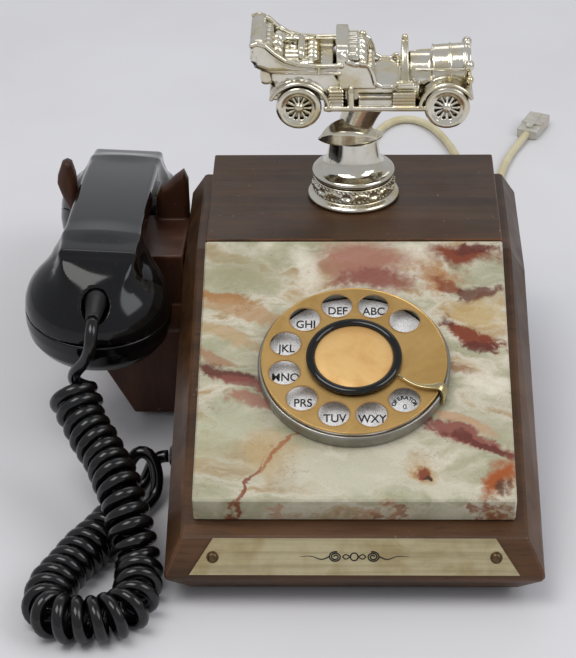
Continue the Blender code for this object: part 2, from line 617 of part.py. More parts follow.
def car_figure(phone):
    """One silver casting: open veteran car, its stem growing from the collar."""
    half = CAR_HALF_WIDTH
    y0 = RISER.y
    parent = empty("car_centre", phone, (0, y0, 0))
    tub = [(-0.0435, 0.1530), (-0.0400, 0.1440), (-0.0340, 0.1405), (0.0270, 0.1405), (0.0270, 0.1560),
           (0.0235, 0.1560), (0.0225, 0.1500), (0.0080, 0.1500), (0.0060, 0.1560), (-0.0030, 0.1560),
           (-0.0250, 0.1560), (-0.0345, 0.1702), (-0.0385, 0.1702), (-0.0430, 0.1645)]
    car = prism("car_figure", tub, "Y", -half + 0.002, half - 0.002, silver(), parent)
    pocket = box("rear_pocket_cut", (-0.0330, -half + 0.0045, 0.1460), (-0.0080, half - 0.0045, 0.18), None,
                 parent)
    cut(car, pocket)
    front_pocket = box("front_pocket_cut", (0.0080, -half + 0.0045, 0.1440), (0.0225, half - 0.0045, 0.18),
                       None, parent)
    cut(car, front_pocket)
    seats = [("rear_seat_stock", (-0.0335, -0.0138, 0.1425), (-0.0220, 0.0138, 0.1540)),
             ("front_seat_stock", (-0.0060, -0.0136, 0.1427), (0.0085, 0.0136, 0.1532)),
             ("front_back_stock", (-0.0075, -0.0152, 0.1429), (-0.0010, 0.0152, 0.1655)),
             ("dash_stock", (0.0198, -0.0085, 0.1431), (0.0268, 0.0085, 0.1615))]
    for name, low, high in seats:
        join(car, box(name, low, high, None, parent))
    bonnet = [(-0.0100, 0.1395), (-0.0100, 0.1540), (-0.0060, 0.1585), (0.0060, 0.1585), (0.0100, 0.1540),
              (0.0100, 0.1395)]
    board_half = half - 0.0004
    join(car,
         prism("bonnet_stock", bonnet, "X", 0.0262, 0.0505, None, parent),
         box("board_stock", (-0.0240, -board_half, 0.1375), (0.0400, board_half, 0.1411), None, parent))
    for which, x in zip(("rear", "front"), CAR_WHEELS_X):
        for side, sign in (("near", -1), ("far", 1)):
            y = sign * (half - 0.0018)
            join(car, rod(f"car_wheel_{which}_{side}", CAR_WHEEL_RADIUS, -0.0016, 0.0016, None, parent,
                          (x, y, CAR_AXLE_Z), (math.pi / 2, 0, 0), steps=16))
            arch = fender_outline(x)
            outer, inner = sign * half, sign * (half - 0.0060)
            join(car, prism(f"fender_{which}_{side}", arch, "Y", min(outer, inner), max(outer, inner),
                            None, parent))
    for x in CAR_WHEELS_X:
        join(car, rod(f"axle_stock_{x:.3f}", 0.0016, -half + 0.003, half - 0.003, None, parent,
                      (x, 0, CAR_AXLE_Z), (math.pi / 2, 0, 0), steps=10))
    join(car, leaning_stem(parent))
    cut(car, rod("stem_rod_cut", ROD_RADIUS + 0.0002, 0.10, 0.1345, None, parent, steps=16))


# ----------------------------------------------------------------- inside of the base
def ringer(phone):
    """Two gongs on a frame, two coils and the clapper that swings between the gongs."""
    frame = box("ringer_frame", (-0.046, 0.128, 0.0051), (0.046, 0.192, 0.0066), steel(), phone)
    for side, x in (("left", -0.0235), ("right", 0.0235)):
        shell = [(0.0020, 0.0315), (0.0060, 0.0315), (0.0140, 0.0290), (0.0180, 0.0230), (0.0190, 0.0190),
                 (0.0180, 0.0190), (0.0170, 0.0228), (0.0132, 0.0280), (0.0058, 0.0303), (0.0020, 0.0303)]
        turned(f"gong_{side}", shell, brass(), phone, (x, 0.172, 0), steps=20)
        post = [(0, 0.0060), (0.0030, 0.0060), (0.0030, 0.0300), (0.0017, 0.0300), (0.0017, 0.0318),
                (0.0035, 0.0318), (0.0035, 0.0335), (0, 0.0335)]
        join(frame, turned(f"gong_post_{side}", post, None, phone, (x, 0.172, 0), steps=12))
        coil = [(0, 0.0069), (0.0080, 0.0069), (0.0080, 0.0085), (0.0070, 0.0085), (0.0070, 0.0275),
                (0.0080, 0.0275), (0.0080, 0.0290), (0, 0.0290)]
        turned(f"ringer_coil_{side}", coil, bakelite(), phone, (x * 0.6, 0.142, 0), steps=16)
    hinge = empty("clapper_hinge", phone, (0, 0.146, 0.0325))
    clapper = box("clapper", (-0.0180, -0.0120, 0.0), (0.0180, 0.0020, 0.0015), steel(), hinge)
    join(clapper,
         rod("clapper_arm_stock", 0.0008, 0.0, 0.027, None, hinge, (0, 0, 0.0007), (-math.pi / 2, 0, 0), 10),
         rod("clapper_drop_stock", 0.0008, -0.0125, 0.0009, None, hinge, (0, 0.0262, 0), steps=10),
         turned("clapper_ball_stock", [(0, -0.003)] + [(0.0021, -0.0021), (0.003, 0), (0.0021, 0.0021)]
                + [(0, 0.003)], None, hinge, (0, 0.0262, -0.0125), steps=12))


def network(phone):
    box("network_board", (-0.036, 0.070, 0.0060), (0.036, 0.118, 0.0190), bakelite(), phone)


# ----------------------------------------------------------------------------- cradle
def floor_z(y):
    return FLOOR_HORN_Z + (HORN_FRONT - y) * math.tan(FLOOR_SLOPE)


def cradle(phone):
    """Wooden bracket with a low step, a sloped floor and two rear horns that hold the handle."""
    def section(top):
        left = CRADLE_FOOT_X - CRADLE_LEAN * (top - BASE_FOOT_Z)
        return [(CRADLE_RIGHT, BASE_FOOT_Z), (CRADLE_FOOT_X, BASE_FOOT_Z), (left, top), (CRADLE_RIGHT, top)]

    def block_between(name, front, back, front_top, back_top, look):
        bm = bmesh.new()
        ends = [[bm.verts.new((x, y, z)) for x, z in section(top)]
                for y, top in ((front, front_top), (back, back_top))]
        bm.faces.new(ends[0])
        bm.faces.new(ends[1])
        for i in range(4):
            j = (i + 1) % 4
            bm.faces.new((ends[0][i], ends[0][j], ends[1][j], ends[1][i]))
        return from_bmesh(name, bm, look, phone)

    step_back, step_top = CRADLE_STEP
    block = block_between("cradle_block", step_back, CRADLE_BACK, floor_z(step_back), floor_z(CRADLE_BACK),
                          walnut())
    join(block, block_between("step_stock", CRADLE_FRONT, step_back + 0.002, step_top, step_top, None))
    left_horn = [(-0.1276, 0.0585), (-0.1312, 0.0640), (-0.1347, 0.0730), (-0.1363, 0.0785),
                 (-0.1358, 0.0825), (-0.1335, 0.0890), (-0.1311, 0.0903), (-0.1288, 0.0890),
                 (-0.1273, 0.0830), (-0.1268, 0.0740), (-0.1268, 0.0585)]
    right_horn = [(CRADLE_RIGHT - 0.001, 0.0540), (CRADLE_RIGHT - 0.001, 0.0800), (-0.0776, 0.0850),
                  (-0.0820, 0.0815), (-0.0846, 0.0788), (-0.0887, 0.0757), (-0.0907, 0.0711),
                  (-0.0914, 0.0650), (-0.0914, 0.0540)]
    for name, outline in (("left_horn_stock", left_horn), ("right_horn_stock", right_horn)):
        join(block, prism(name, outline, "Y", HORN_FRONT, CRADLE_BACK - GAP, None, phone))
    cut(block,
        box("switch_pocket_cut", (-0.1180, 0.1560, 0.0400), (-0.0740, 0.1840, 0.0585), None, phone),
        rod("plunger_cut", PLUNGER_RADIUS + 0.0003, 0.050, floor_z(PLUNGER.y) + 0.01, None, phone,
            (PLUNGER.x, PLUNGER.y, 0)))
    for number, y in enumerate(CRADLE_SCREWS, 1):
        cut(block, rod(f"block_screw_cut_{number}", 0.0016, -0.012, 0.030, None, phone,
                       (-0.0885, y, SCREW_Z), (0, math.pi / 2, 0), steps=16))
        screw = [(0, -0.0020), (0.0036, -0.0020), (0.0036, 0), (0.0014, 0.0004), (0.0014, 0.0330),
                 (0, 0.0340)]
        turned(f"cradle_screw_{number}", screw, steel(), phone, (-0.0527, y, SCREW_Z),
               (0, -math.pi / 2, 0), steps=16)


def hook_switch(phone):
    """Switch in the cradle's pocket and the plunger that the handset presses down."""
    body = box("hook_switch", (-0.1175, 0.1565, 0.0404), (-0.0995, 0.1835, 0.0540), bakelite(), phone)
    cut(body, rod("switch_socket_cut", PLUNGER_RADIUS + 0.0003, 0.0455, 0.060, None, phone,
                  (PLUNGER.x, PLUNGER.y, 0)))
    axis = empty("plunger_axis", phone, (PLUNGER.x, PLUNGER.y, 0))
    top = floor_z(PLUNGER.y) + 0.0022
    profile = [(0, 0.0462), (PLUNGER_RADIUS, 0.0462), (PLUNGER_RADIUS, top - 0.0012)]
    profile += dome(PLUNGER_RADIUS, top - 0.0010, 0.0010, 4)[1:]
    turned("hook_plunger", profile, steel(), axis, steps=20)


# ---------------------------------------------------------------------------- handset
def back_height(y):
    """Height of the handle's back above the seam plane, along the line of centres."""
    middle = CENTRE_DISTANCE / 2
    reach = middle + RIDGE_OUT
    return BACK_Z + BACK_ARCH * (1 - ((y - middle) / reach) ** 2)


def handle_section(y):
    """Trapezoid with a flat back: wide at the waist, narrower on the grip side."""
    middle = CENTRE_DISTANCE / 2
    share = abs(y - middle) / (middle + RIDGE_OUT)
    back = HANDLE_HALF_WIDTH - 0.0003 * share ** 2
    waist = back + 0.0008
    grip = waist - 0.0035
    top = back_height(y)
    return [(-back, top), (-waist, top - 0.008), (-grip, top - HANDLE_THICKNESS),
            (grip, top - HANDLE_THICKNESS), (waist, top - 0.008), (back, top)]


def handset_shell(handset, ends):
    """Handle lofted between the ridges, joined to a bell over each capsule."""
    stations = 8
    start, end = -RIDGE_OUT, CENTRE_DISTANCE + RIDGE_OUT
    bm = bmesh.new()
    rings = []
    for i in range(stations + 1):
        y = start + (end - start) * i / stations
        rings.append([bm.verts.new((x, y, z)) for x, z in handle_section(y)])
    count = len(rings[0])
    for low, high in zip(rings, rings[1:]):
        for i in range(count):
            bm.faces.new((low[i], low[(i + 1) % count], high[(i + 1) % count], high[i]))
    bm.faces.new(rings[0])
    bm.faces.new(rings[-1])
    shell = from_bmesh("handset_shell", bm, black_plastic(), handset)
    for name, end_frame in ends.items():
        bell = [(0, 0), (CAP_RADIUS, 0), (CAP_RADIUS - 0.0004, 0.0048), (CAP_RADIUS - 0.0023, 0.0098),
                (CAP_RADIUS - 0.0064, 0.0150), (CAP_RADIUS - 0.0122, 0.0198), (0.0130, 0.0232),
                (0, 0.0242)]
        join(shell, turned(f"{name}_bell_stock", bell, None, end_frame, steps=32))
    for name, end_frame in ends.items():
        cut(shell, rod(f"{name}_pocket_cut", 0.0243, -0.004, 0.0095, None, end_frame, steps=24))
    return shell


def cap_and_capsule(name, end_frame):
    """Screw-on cap with a hollow that, with the shell's pocket, holds the capsule."""
    cap = [(0, -0.0172), (0.0190, -0.0172), (CAP_RADIUS - 0.0042, -0.0156), (CAP_RADIUS - 0.0012, -0.0110),
           (CAP_RADIUS, -0.0050), (CAP_RADIUS, -GAP), (0.0285, -GAP), (0.0285, -0.0060),
           (0.0245, -0.0130), (0, -0.0130)]
    turned(f"{name}_cap", cap, black_plastic(), end_frame, steps=32)
    capsule = [(0, -0.0112), (0.0200, -0.0112), (0.0236, -0.0080), (0.0236, 0.0060), (0.0180, 0.0085),
               (0, 0.0085)]
    turned(f"{name}_capsule", capsule, steel(), end_frame, steps=20)


def handset_assembly(phone):
    handset = empty("handset_frame", phone, TRANSMITTER, (HANDSET_PITCH, HANDSET_ROLL, HANDSET_YAW))
    ends = {
        "transmitter": empty("transmitter_frame", handset, (0, 0, 0), (TRANSMITTER_TILT, 0, 0)),
        "receiver": empty("receiver_frame", handset, (0, CENTRE_DISTANCE, 0), (RECEIVER_TILT, 0, 0)),
    }
    shell = handset_shell(handset, ends)
    for name, end_frame in ends.items():
        cap_and_capsule(name, end_frame)
    return shell


def cord_boot(phone, shell):
    """Strain relief that leads the cord out of the transmitter bell's front."""
    boot_frame = empty("boot_frame", phone, BOOT_ROOT, (math.pi / 2, 0, 0))
    boot = [(0, -0.0060), (0.0030, -0.0060), (0.0030, 0.0030), (0.0046, 0.0034), (0.0046, 0.0050),
            (0.0040, 0.0060), (0.0028, 0.0190), (0, 0.0190)]
    turned("handset_cord_boot", boot, black_rubber(), boot_frame, steps=20)
    cut(shell, rod("boot_hole_cut", 0.0050, -0.0065, 0.020, None, boot_frame, steps=20))


# ------------------------------------------------------------------------------ cords
def handset_cord(phone):
    """Curly cord: straight tails, and a fat tube where the cord is coiled."""
    wire = CURLY_WIRE / 2
    tube("handset_cord_tail", HANDSET_TAIL, wire, 0.005, black_rubber(), phone)
    tube("handset_cord_hanging", HANGING_COIL, CURLY_RADIUS, 0.009, black_rubber(), phone)
    tube("handset_cord_lying", LYING_COIL, CURLY_RADIUS, 0.010, black_rubber(), phone)
    tube("handset_cord_base_tail", BASE_TAIL, wire, 0.006, black_rubber(), phone)
    bush = [(0, -0.0180), (0.0033, -0.0180), (0.0033, 0.0003), (0.0052, 0.0003), (0.0052, 0.0018),
            (0.0038, 0.0032), (0, 0.0032)]
    turned("handset_cord_bush", bush, black_rubber(), phone, (-BASE_HALF_WIDTH, *HANDSET_BUSH),
           (0, -math.pi / 2, 0), steps=20)


def line_cord(phone):
    """Line cord out of the back, its spare length wound up, and its plug."""
    bush = [(0, -0.0180), (0.0033, -0.0180), (0.0033, 0.0003), (0.0050, 0.0003), (0.0050, 0.0018),
            (0.0036, 0.0034), (0, 0.0034)]
    turned("line_cord_bush", bush, cream_vinyl(), phone, (LINE_BUSH[0], BASE_BACK, LINE_BUSH[1]),
           (-math.pi / 2, 0, 0), steps=20)
    wire = LINE_DIAMETER / 2
    tube("line_cord_run", LINE_RUN, wire, 0.010, cream_vinyl(), phone)
    inner, outer = LINE_COIL_RADII
    low, high = LINE_COIL_Z
    ring = [(inner, low), (outer, low), (outer, high), (inner, high)]
    turned("line_cord_coil", ring, cream_vinyl(), phone, LINE_COIL_CENTRE)
    tube("line_cord_end", LINE_END, wire, 0.011, cream_vinyl(), phone)
    tie_at = LINE_COIL_CENTRE + Vector((-(inner + outer) / 2, 0, 0))
    half = (outer - inner) / 2
    tie = box("cord_tie", (-half - 0.0012, -0.002, 0.0), (half + 0.0012, 0.002, high + 0.0012),
              black_rubber(), phone, tie_at)
    cut(tie, box("tie_cut", (-half - 0.0004, -0.01, low - 0.0004), (half + 0.0004, 0.01, high + 0.0004),
                 None, phone, tie_at))
    direction = Vector((0.0955, 0.4040)) - Vector((0.0860, 0.3830))
    yaw = math.atan2(direction.y, direction.x) - math.pi / 2
    plug = box("line_plug", (-0.0058, 0.0004, 0.0001), (0.0058, 0.0220, 0.0068), clear_plastic(), phone,
               (0.0955, 0.4040, 0.0), (0, 0, yaw))
    soften(plug, 0.0006)


# --------------------------------------------------------------------------- assembly
CORD_NODES = ("handset_cord_tail", "handset_cord_hanging", "handset_cord_lying",
              "handset_cord_base_tail", "line_cord_run", "line_cord_coil", "line_cord_end",
              "line_plug", "cord_tie")


def stand_on_origin(phone):
    """Move the assembly so that the origin is under the middle of the telephone."""
    bpy.context.view_layer.update()
    graph = bpy.context.evaluated_depsgraph_get()
    corners = []
    for made in bpy.data.objects:
        if made.type not in ("MESH", "CURVE") or made.hide_render or made.name in CORD_NODES:
            continue
        solid = made.evaluated_get(graph)
        corners += [solid.matrix_world @ vert.co for vert in solid.data.vertices]
    low = Vector(min(c[i] for c in corners) for i in range(3))
    high = Vector(max(c[i] for c in corners) for i in range(3))
    phone.location = (-(low.x + high.x) / 2, -(low.y + high.y) / 2, -low.z)
    bpy.context.view_layer.update()


def build():
    for old in list(bpy.data.objects):
        bpy.data.objects.remove(old, do_unlink=True)
    phone = empty(PHONE)
    slope = empty("slope_frame", phone, (0, 0, SLAB_FRONT_Z), (SLOPE, 0, 0))
    dial = empty("dial_frame", slope, (0, DIAL_U, 0))
    spinner = empty("dial_axis", dial)
    base = wood_base(phone)
    dial_well(base, slope)
    name_plate(phone, base)
    deck_block(phone)
    onyx_slab(slope)
    underside(phone)
    dial_housing(dial)
    finger_stop(dial)
    finger_wheel(spinner)
    pulse_pinion(dial)
    riser(phone)
    rod_and_nut(phone)
    car_figure(phone)
    ringer(phone)
    network(phone)
    cradle(phone)
    hook_switch(phone)
    shell = handset_assembly(phone)
    cord_boot(phone, shell)
    handset_cord(phone)
    line_cord(phone)
    stand_on_origin(phone)


build()
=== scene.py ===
"""Looks of the desk telephone: finer pieces, materials, cords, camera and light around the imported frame."""

import json
import math

import bmesh
import bpy
import numpy as np
from mathutils import Euler, Matrix, Vector


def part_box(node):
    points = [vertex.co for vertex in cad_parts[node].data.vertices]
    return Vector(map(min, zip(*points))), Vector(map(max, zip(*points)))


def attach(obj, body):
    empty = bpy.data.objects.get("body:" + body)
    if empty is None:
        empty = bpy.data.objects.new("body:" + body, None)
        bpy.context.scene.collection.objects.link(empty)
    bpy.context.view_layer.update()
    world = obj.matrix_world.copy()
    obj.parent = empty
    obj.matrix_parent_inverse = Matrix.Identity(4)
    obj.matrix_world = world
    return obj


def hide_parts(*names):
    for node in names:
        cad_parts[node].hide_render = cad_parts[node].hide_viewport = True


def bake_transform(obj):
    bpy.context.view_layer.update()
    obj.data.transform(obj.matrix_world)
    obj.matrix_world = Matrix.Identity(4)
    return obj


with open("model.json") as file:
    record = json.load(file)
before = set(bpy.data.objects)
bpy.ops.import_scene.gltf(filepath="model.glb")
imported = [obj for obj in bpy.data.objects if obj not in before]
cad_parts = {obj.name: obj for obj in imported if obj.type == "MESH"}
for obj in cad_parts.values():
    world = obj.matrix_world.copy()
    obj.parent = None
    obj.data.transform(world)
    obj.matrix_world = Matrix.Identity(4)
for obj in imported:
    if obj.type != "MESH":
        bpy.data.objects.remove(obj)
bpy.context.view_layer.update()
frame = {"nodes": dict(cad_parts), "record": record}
NODES = frame["nodes"]
MM = 0.001

# The telephone's own layout: x from its middle, y from the slab's front edge, z from the table
wood_low, wood_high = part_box("wood_base")
PHONE = Vector(((wood_low.x + wood_high.x) / 2, wood_low.y + 0.0095, 0.0))
PHONE_AT = Matrix.Translation(PHONE)


def turn(x=0.0, y=0.0, z=0.0):
    return Euler([math.radians(a) for a in (x, y, z)], "XYZ").to_matrix().to_4x4()


SLOPE = 19.3
SLAB_AT = PHONE_AT @ Matrix.Translation((0, 0, 0.0448)) @ turn(SLOPE)
DIAL_AT = SLAB_AT @ Matrix.Translation((0, 0.0645, 0))
RISER_AT = PHONE_AT @ Matrix.Translation((0, 0.171, 0.0898))
CAR_AT = PHONE_AT @ Matrix.Translation((0, 0.171, 0))
HANDSET_AT = PHONE_AT @ Matrix.Translation((-0.1095, 0.115, 0.066)) @ turn(-11.6, 3.0, -0.1)
TRANSMITTER_AT = HANDSET_AT @ turn(17.0)
RECEIVER_AT = HANDSET_AT @ Matrix.Translation((0, 0.1416, 0)) @ turn(-12.0)
BOOT_AT = PHONE_AT @ Matrix.Translation((-0.1079, 0.0975, 0.0797)) @ turn(90)


# ---------------------------------------------------------------------------- camera
def make_camera():
    tilt, yaw, roll = math.radians(31.26), math.radians(-1.79), math.radians(-0.95)
    ahead = Vector((math.sin(yaw) * math.cos(tilt), math.cos(yaw) * math.cos(tilt), -math.sin(tilt)))
    right = ahead.cross(Vector((0, 0, 1))).normalized()
    up = right.cross(ahead)
    across = right * math.cos(roll) + up * math.sin(roll)
    over = -right * math.sin(roll) + up * math.cos(roll)
    place = Matrix((across, over, -ahead)).transposed().to_4x4()
    place.translation = Vector((-0.0021, -0.7243, 0.5631)) + PHONE
    camera = bpy.data.objects.new("camera", bpy.data.cameras.new("camera"))
    bpy.context.scene.collection.objects.link(camera)
    camera.matrix_world = place
    camera.data.lens = 124.48
    camera.data.sensor_width = 36
    camera.data.clip_end = 20
    bpy.context.scene.camera = camera


make_camera()


# ------------------------------------------------------------------- material helpers
def tone(code):
    """Linear colour of an sRGB hex code, opaque."""
    parts = [int(code[i:i + 2], 16) / 255 for i in (0, 2, 4)]
    return (*[p / 12.92 if p <= 0.04045 else ((p + 0.055) / 1.055) ** 2.4 for p in parts], 1.0)


class Look:
    """A material, and short ways to add nodes to it. A socket can stand in for any value, and a
    colour is given as a hex code or as a socket."""

    def __init__(self, name, **sockets):
        self.material = bpy.data.materials.new(name)
        self.material.use_nodes = True
        self.tree = self.material.node_tree
        self.shader = self.tree.nodes["Principled BSDF"]
        self.fill(self.shader, {key.replace("_", " "): value for key, value in sockets.items()})
        self.place = self.add("TexCoord", out="Object")

    def fill(self, made, inputs):
        for key, value in inputs.items():
            if isinstance(value, bpy.types.NodeSocket):
                self.tree.links.new(value, made.inputs[key])
            else:
                made.inputs[key].default_value = tone(value) if isinstance(value, str) else value

    def add(self, kind, inputs=None, out=0, **settings):
        made = self.tree.nodes.new("ShaderNode" + kind)
        for key, value in settings.items():
            setattr(made, key, value)
        self.fill(made, inputs or {})
        return made.outputs[out]

    def moved(self, scale=(1, 1, 1), rotation=(0, 0, 0), location=(0, 0, 0), source=None):
        return self.add("Mapping", {"Vector": source or self.place, "Scale": scale, "Location": location,
                                    "Rotation": [math.radians(a) for a in rotation]})

    def noise(self, scale, detail=4.0, roughness=0.55, distortion=0.0, source=None, out="Fac"):
        return self.add("TexNoise", {"Vector": source or self.place, "Scale": scale, "Detail": detail,
                                     "Roughness": roughness, "Distortion": distortion}, out=out)

    def math(self, operation, a, b=0.0):
        return self.add("Math", {0: a, 1: b}, operation=operation)

    def vector(self, operation, a, b=(0, 0, 0), out="Vector"):
        return self.add("VectorMath", {0: a, 1: b}, out=out, operation=operation)

    def scaled(self, a, share):
        made = self.vector("SCALE", a)
        made.node.inputs["Scale"].default_value = share
        return made

    def span(self, value, low, high, to_low=0.0, to_high=1.0):
        """Carry low..high over to to_low..to_high, eased at both ends."""
        return self.add("MapRange", {"Value": value, "From Min": low, "From Max": high, "To Min": to_low,
                                     "To Max": to_high}, out="Result", interpolation_type="SMOOTHSTEP")

    def product(self, a, b):
        return self.math("MULTIPLY", a, b)

    def plus(self, a, b, share):
        """a, and a share of b added to it."""
        return self.math("ADD", a, self.product(b, share))

    def mix(self, share, a, b):
        return self.add("Mix", {0: share, 6: a, 7: b}, out=2, data_type="RGBA", blend_type="MIX")

    def ramp(self, value, stops):
        made = self.tree.nodes.new("ShaderNodeValToRGB")
        self.tree.links.new(value, made.inputs[0])
        keys = made.color_ramp.elements
        while len(keys) < len(stops):
            keys.new(0.5)
        for key, (spot, colour) in zip(keys, stops):
            key.position, key.color = spot, tone(colour)
        return made.outputs[0]

    def bump(self, height, depth, strength):
        relief = self.add("Bump", {"Height": height, "Distance": depth, "Strength": strength})
        self.fill(self.shader, {"Normal": relief})

    def edge(self, radius):
        """1 along the edges of a solid, 0 on its faces."""
        rounded = self.add("Bevel", {"Radius": radius}, samples=4)
        plain = self.add("NewGeometry", out="Normal")
        same = self.vector("DOT_PRODUCT", rounded, plain, out="Value")
        return self.span(self.math("SUBTRACT", 1.0, same), 0.02, 0.25)

    def finish(self, **sockets):
        self.fill(self.shader, {key.replace("_", " "): value for key, value in sockets.items()})
        return self.material


def wood_look(name, along, dark, mid, light, worn):
    """Stained walnut with long grain, pores and worn edges. along is the stretch of the grain."""
    look = Look(name, Specular_IOR_Level=0.32)
    grain = look.moved(along)
    wave = look.noise(9, 5, 0.6, 1.2, grain)
    streak = look.noise(46, 6, 0.7, 0.3, grain)
    pores = look.noise(150, 3, 0.5, 0.0, look.moved(tuple(a * 1.6 for a in along)))
    base = look.ramp(wave, [(0.28, dark), (0.52, mid), (0.75, light)])
    base = look.mix(look.span(streak, 0.42, 0.72, 0.0, 0.55), base, dark)
    base = look.mix(look.span(pores, 0.60, 0.72, 0.0, 0.5), base, "1c120d")
    cloud = look.noise(14, 3, 0.5)
    base = look.mix(look.span(cloud, 0.35, 0.7, 0.0, 0.35), base, light)
    rub = look.product(look.edge(0.0016), look.span(look.noise(60, 4, 0.7), 0.42, 0.62))
    base = look.mix(rub, base, worn)
    speck = look.span(look.noise(420, 2, 0.5), 0.73, 0.78)
    base = look.mix(look.product(speck, 0.35), base, "a89a8c")
    rough = look.span(look.noise(30, 4, 0.6), 0.3, 0.7, 0.34, 0.5)
    height = look.plus(look.product(streak, 0.5), pores, -0.6)
    look.bump(height, 0.00018, 0.5)
    return look.finish(Base_Color=base, Roughness=rough)


def metal_look(name, colour, stain, rough=(0.12, 0.3), stain_share=0.5, scale=60, grime=None, bump=0.00006,
               brushed=None):
    """Plated or polished metal with tarnish clouds, fine scratches and grime in the hollows."""
    look = Look(name, Metallic=1.0)
    cloud = look.noise(scale, 5, 0.6, 0.4)
    fine = look.noise(scale * 9, 4, 0.6)
    base = look.mix(look.span(cloud, 0.38, 0.68, 0.0, stain_share), colour, stain)
    if grime:
        hollow = look.add("AmbientOcclusion", {"Distance": 0.0022}, out="AO", samples=4)
        base = look.mix(look.span(hollow, 0.25, 0.85, 0.85, 0.0), base, grime)
    gloss = look.span(look.plus(cloud, fine, 0.4), 0.45, 0.95, *rough)
    height = fine
    if brushed:
        lines = look.noise(600, 3, 0.6, 0.0, look.moved(brushed))
        dark = (*[0.55 * c for c in tone(stain)[:3]], 1)
        base = look.mix(look.span(lines, 0.35, 0.7, 0.0, 0.30), base, dark)
        height = look.plus(lines, fine, 0.3)
    look.bump(height, bump, 0.6)
    return look.finish(Base_Color=base, Roughness=gloss)


def plastic_look(name, colour, other, rough=(0.08, 0.16), scale=40, bump=0.00003, dust=None,
                 shine=0.5):
    """Moulded plastic or rubber with a faint unevenness, scuffs and dust."""
    look = Look(name, Specular_IOR_Level=shine)
    cloud = look.noise(scale, 4, 0.55)
    fine = look.noise(scale * 14, 3, 0.5)
    scuff = look.span(look.noise(scale * 2.2, 6, 0.75, 1.5), 0.6, 0.75)
    base = look.mix(look.span(cloud, 0.35, 0.7), colour, other)
    if dust:
        base = look.mix(look.product(look.span(fine, 0.62, 0.72), 0.25), base, dust)
    gloss = look.span(look.plus(cloud, scuff, 0.5), 0.35, 1.1, *rough)
    look.bump(look.plus(look.product(cloud, 0.6), fine, 0.08), bump, 0.5)
    return look.finish(Base_Color=base, Roughness=gloss)


# ----------------------------------------------------------------------------- looks
GRAIN_ACROSS = (0.35, 3.0, 3.0)
GRAIN_UP = (2.6, 2.6, 0.4)
wood = wood_look("walnut_look", GRAIN_ACROSS, "24160c", "47301d", "62432b", "94582f")
wood_cradle = wood_look("walnut_cradle_look", GRAIN_UP, "1d0f09", "3c2216", "5c3926",
                        "8a5636")
silver = metal_look("figure_silver_look", "e4e0d3", "cbbb8e", (0.10, 0.26), 0.75, 70,
                    grime="4c4630")
silver_plain = metal_look("riser_silver_look", "dcd9cf", "c8bd98", (0.07, 0.20), 0.6, 45,
                          grime="5a533c")
dial_silver = metal_look("dial_silver_look", "9b9a94", "7d776a", (0.25, 0.45), 0.5, 90)
gold = metal_look("dial_gold_look", "d0aa6c", "a98850", (0.34, 0.46), 0.7, 40, bump=0.00003)
gold_rim = metal_look("dial_rim_look", "d2ab74", "b48a52", (0.30, 0.40), 0.4, 90, bump=0.00003)
card_gold = metal_look("card_gold_look", "e0bd83", "cc9f62", (0.58, 0.72), 0.55, 55,
                       bump=0.00004)
plate_brass = metal_look("plate_brass_look", "ded0a8", "ab9463", (0.26, 0.42), 0.65, 50,
                         bump=0.00005, brushed=(0.03, 1.0, 1.0))
stop_brass = metal_look("stop_brass_look", "b9ac84", "8f7f55", (0.2, 0.35), 0.5, 120)
steel = metal_look("plated_steel_look", "8d8f92", "6e6d68", (0.25, 0.45), 0.6, 80)
pin_steel = metal_look("pin_look", "6d5a42", "40301f", (0.3, 0.5), 0.7, 300)
gear_brass = metal_look("gear_brass_look", "b39251", "8c6c35", (0.28, 0.45), 0.5, 90)
black_handset = plastic_look("handset_black_look", "040406", "07070a", (0.10, 0.17), 22,
                             0.00004, "2e2e32", 0.36)
boot_black = plastic_look("boot_black_look", "030304", "080809", (0.42, 0.58), 60, 0.00006)
black_ring = plastic_look("ring_black_look", "020202", "060606", (0.05, 0.10), 60)
cord_black = plastic_look("cord_black_look", "050506", "0a0a0c", (0.14, 0.26), 60, 0.00005)
cord_cream = plastic_look("cord_cream_look", "d2c9a8", "c2b68e", (0.35, 0.5), 60, 0.00005)
bakelite = plastic_look("bakelite_look", "3a1d12", "512c1c", (0.3, 0.45), 60, 0.00006)
foot_rubber = plastic_look("foot_rubber_look", "1a1a1b", "262626", (0.6, 0.75), 90, 0.0001)


def hardboard_look():
    look = Look("hardboard_look")
    fibre = look.noise(220, 6, 0.7, 0.6)
    base = look.ramp(fibre, [(0.3, "3d2a1c"), (0.5, "5b4230"), (0.72, "7a5c44")])
    weave = look.add("TexChecker", {"Vector": look.place, "Scale": 900.0}, out="Fac")
    look.bump(look.plus(fibre, weave, 0.4), 0.0002, 0.5)
    return look.finish(Base_Color=base, Roughness=look.span(fibre, 0.3, 0.7, 0.62, 0.8))


def speckled_white_look():
    look = Look("dial_white_look")
    grit = look.noise(2600, 2, 0.5)
    coarse = look.noise(900, 3, 0.6)
    base = look.ramp(grit, [(0.34, "a9abb2"), (0.46, "eceded"), (0.62, "fbfbfb")])
    base = look.mix(look.span(coarse, 0.45, 0.7, 0.0, 0.2), base, "c9cad2")
    look.bump(grit, 0.00004, 0.4)
    return look.finish(Base_Color=base, Roughness=look.span(coarse, 0.3, 0.7, 0.3, 0.45))


def ink_look():
    look = Look("dial_ink_look")
    worn = look.noise(1500, 3, 0.6)
    base = look.mix(look.span(worn, 0.5, 0.75, 0.0, 0.5), "0c0c10", "34343a")
    look.bump(worn, 0.00002, 0.4)
    return look.finish(Base_Color=base, Roughness=look.span(worn, 0.3, 0.7, 0.35, 0.5))


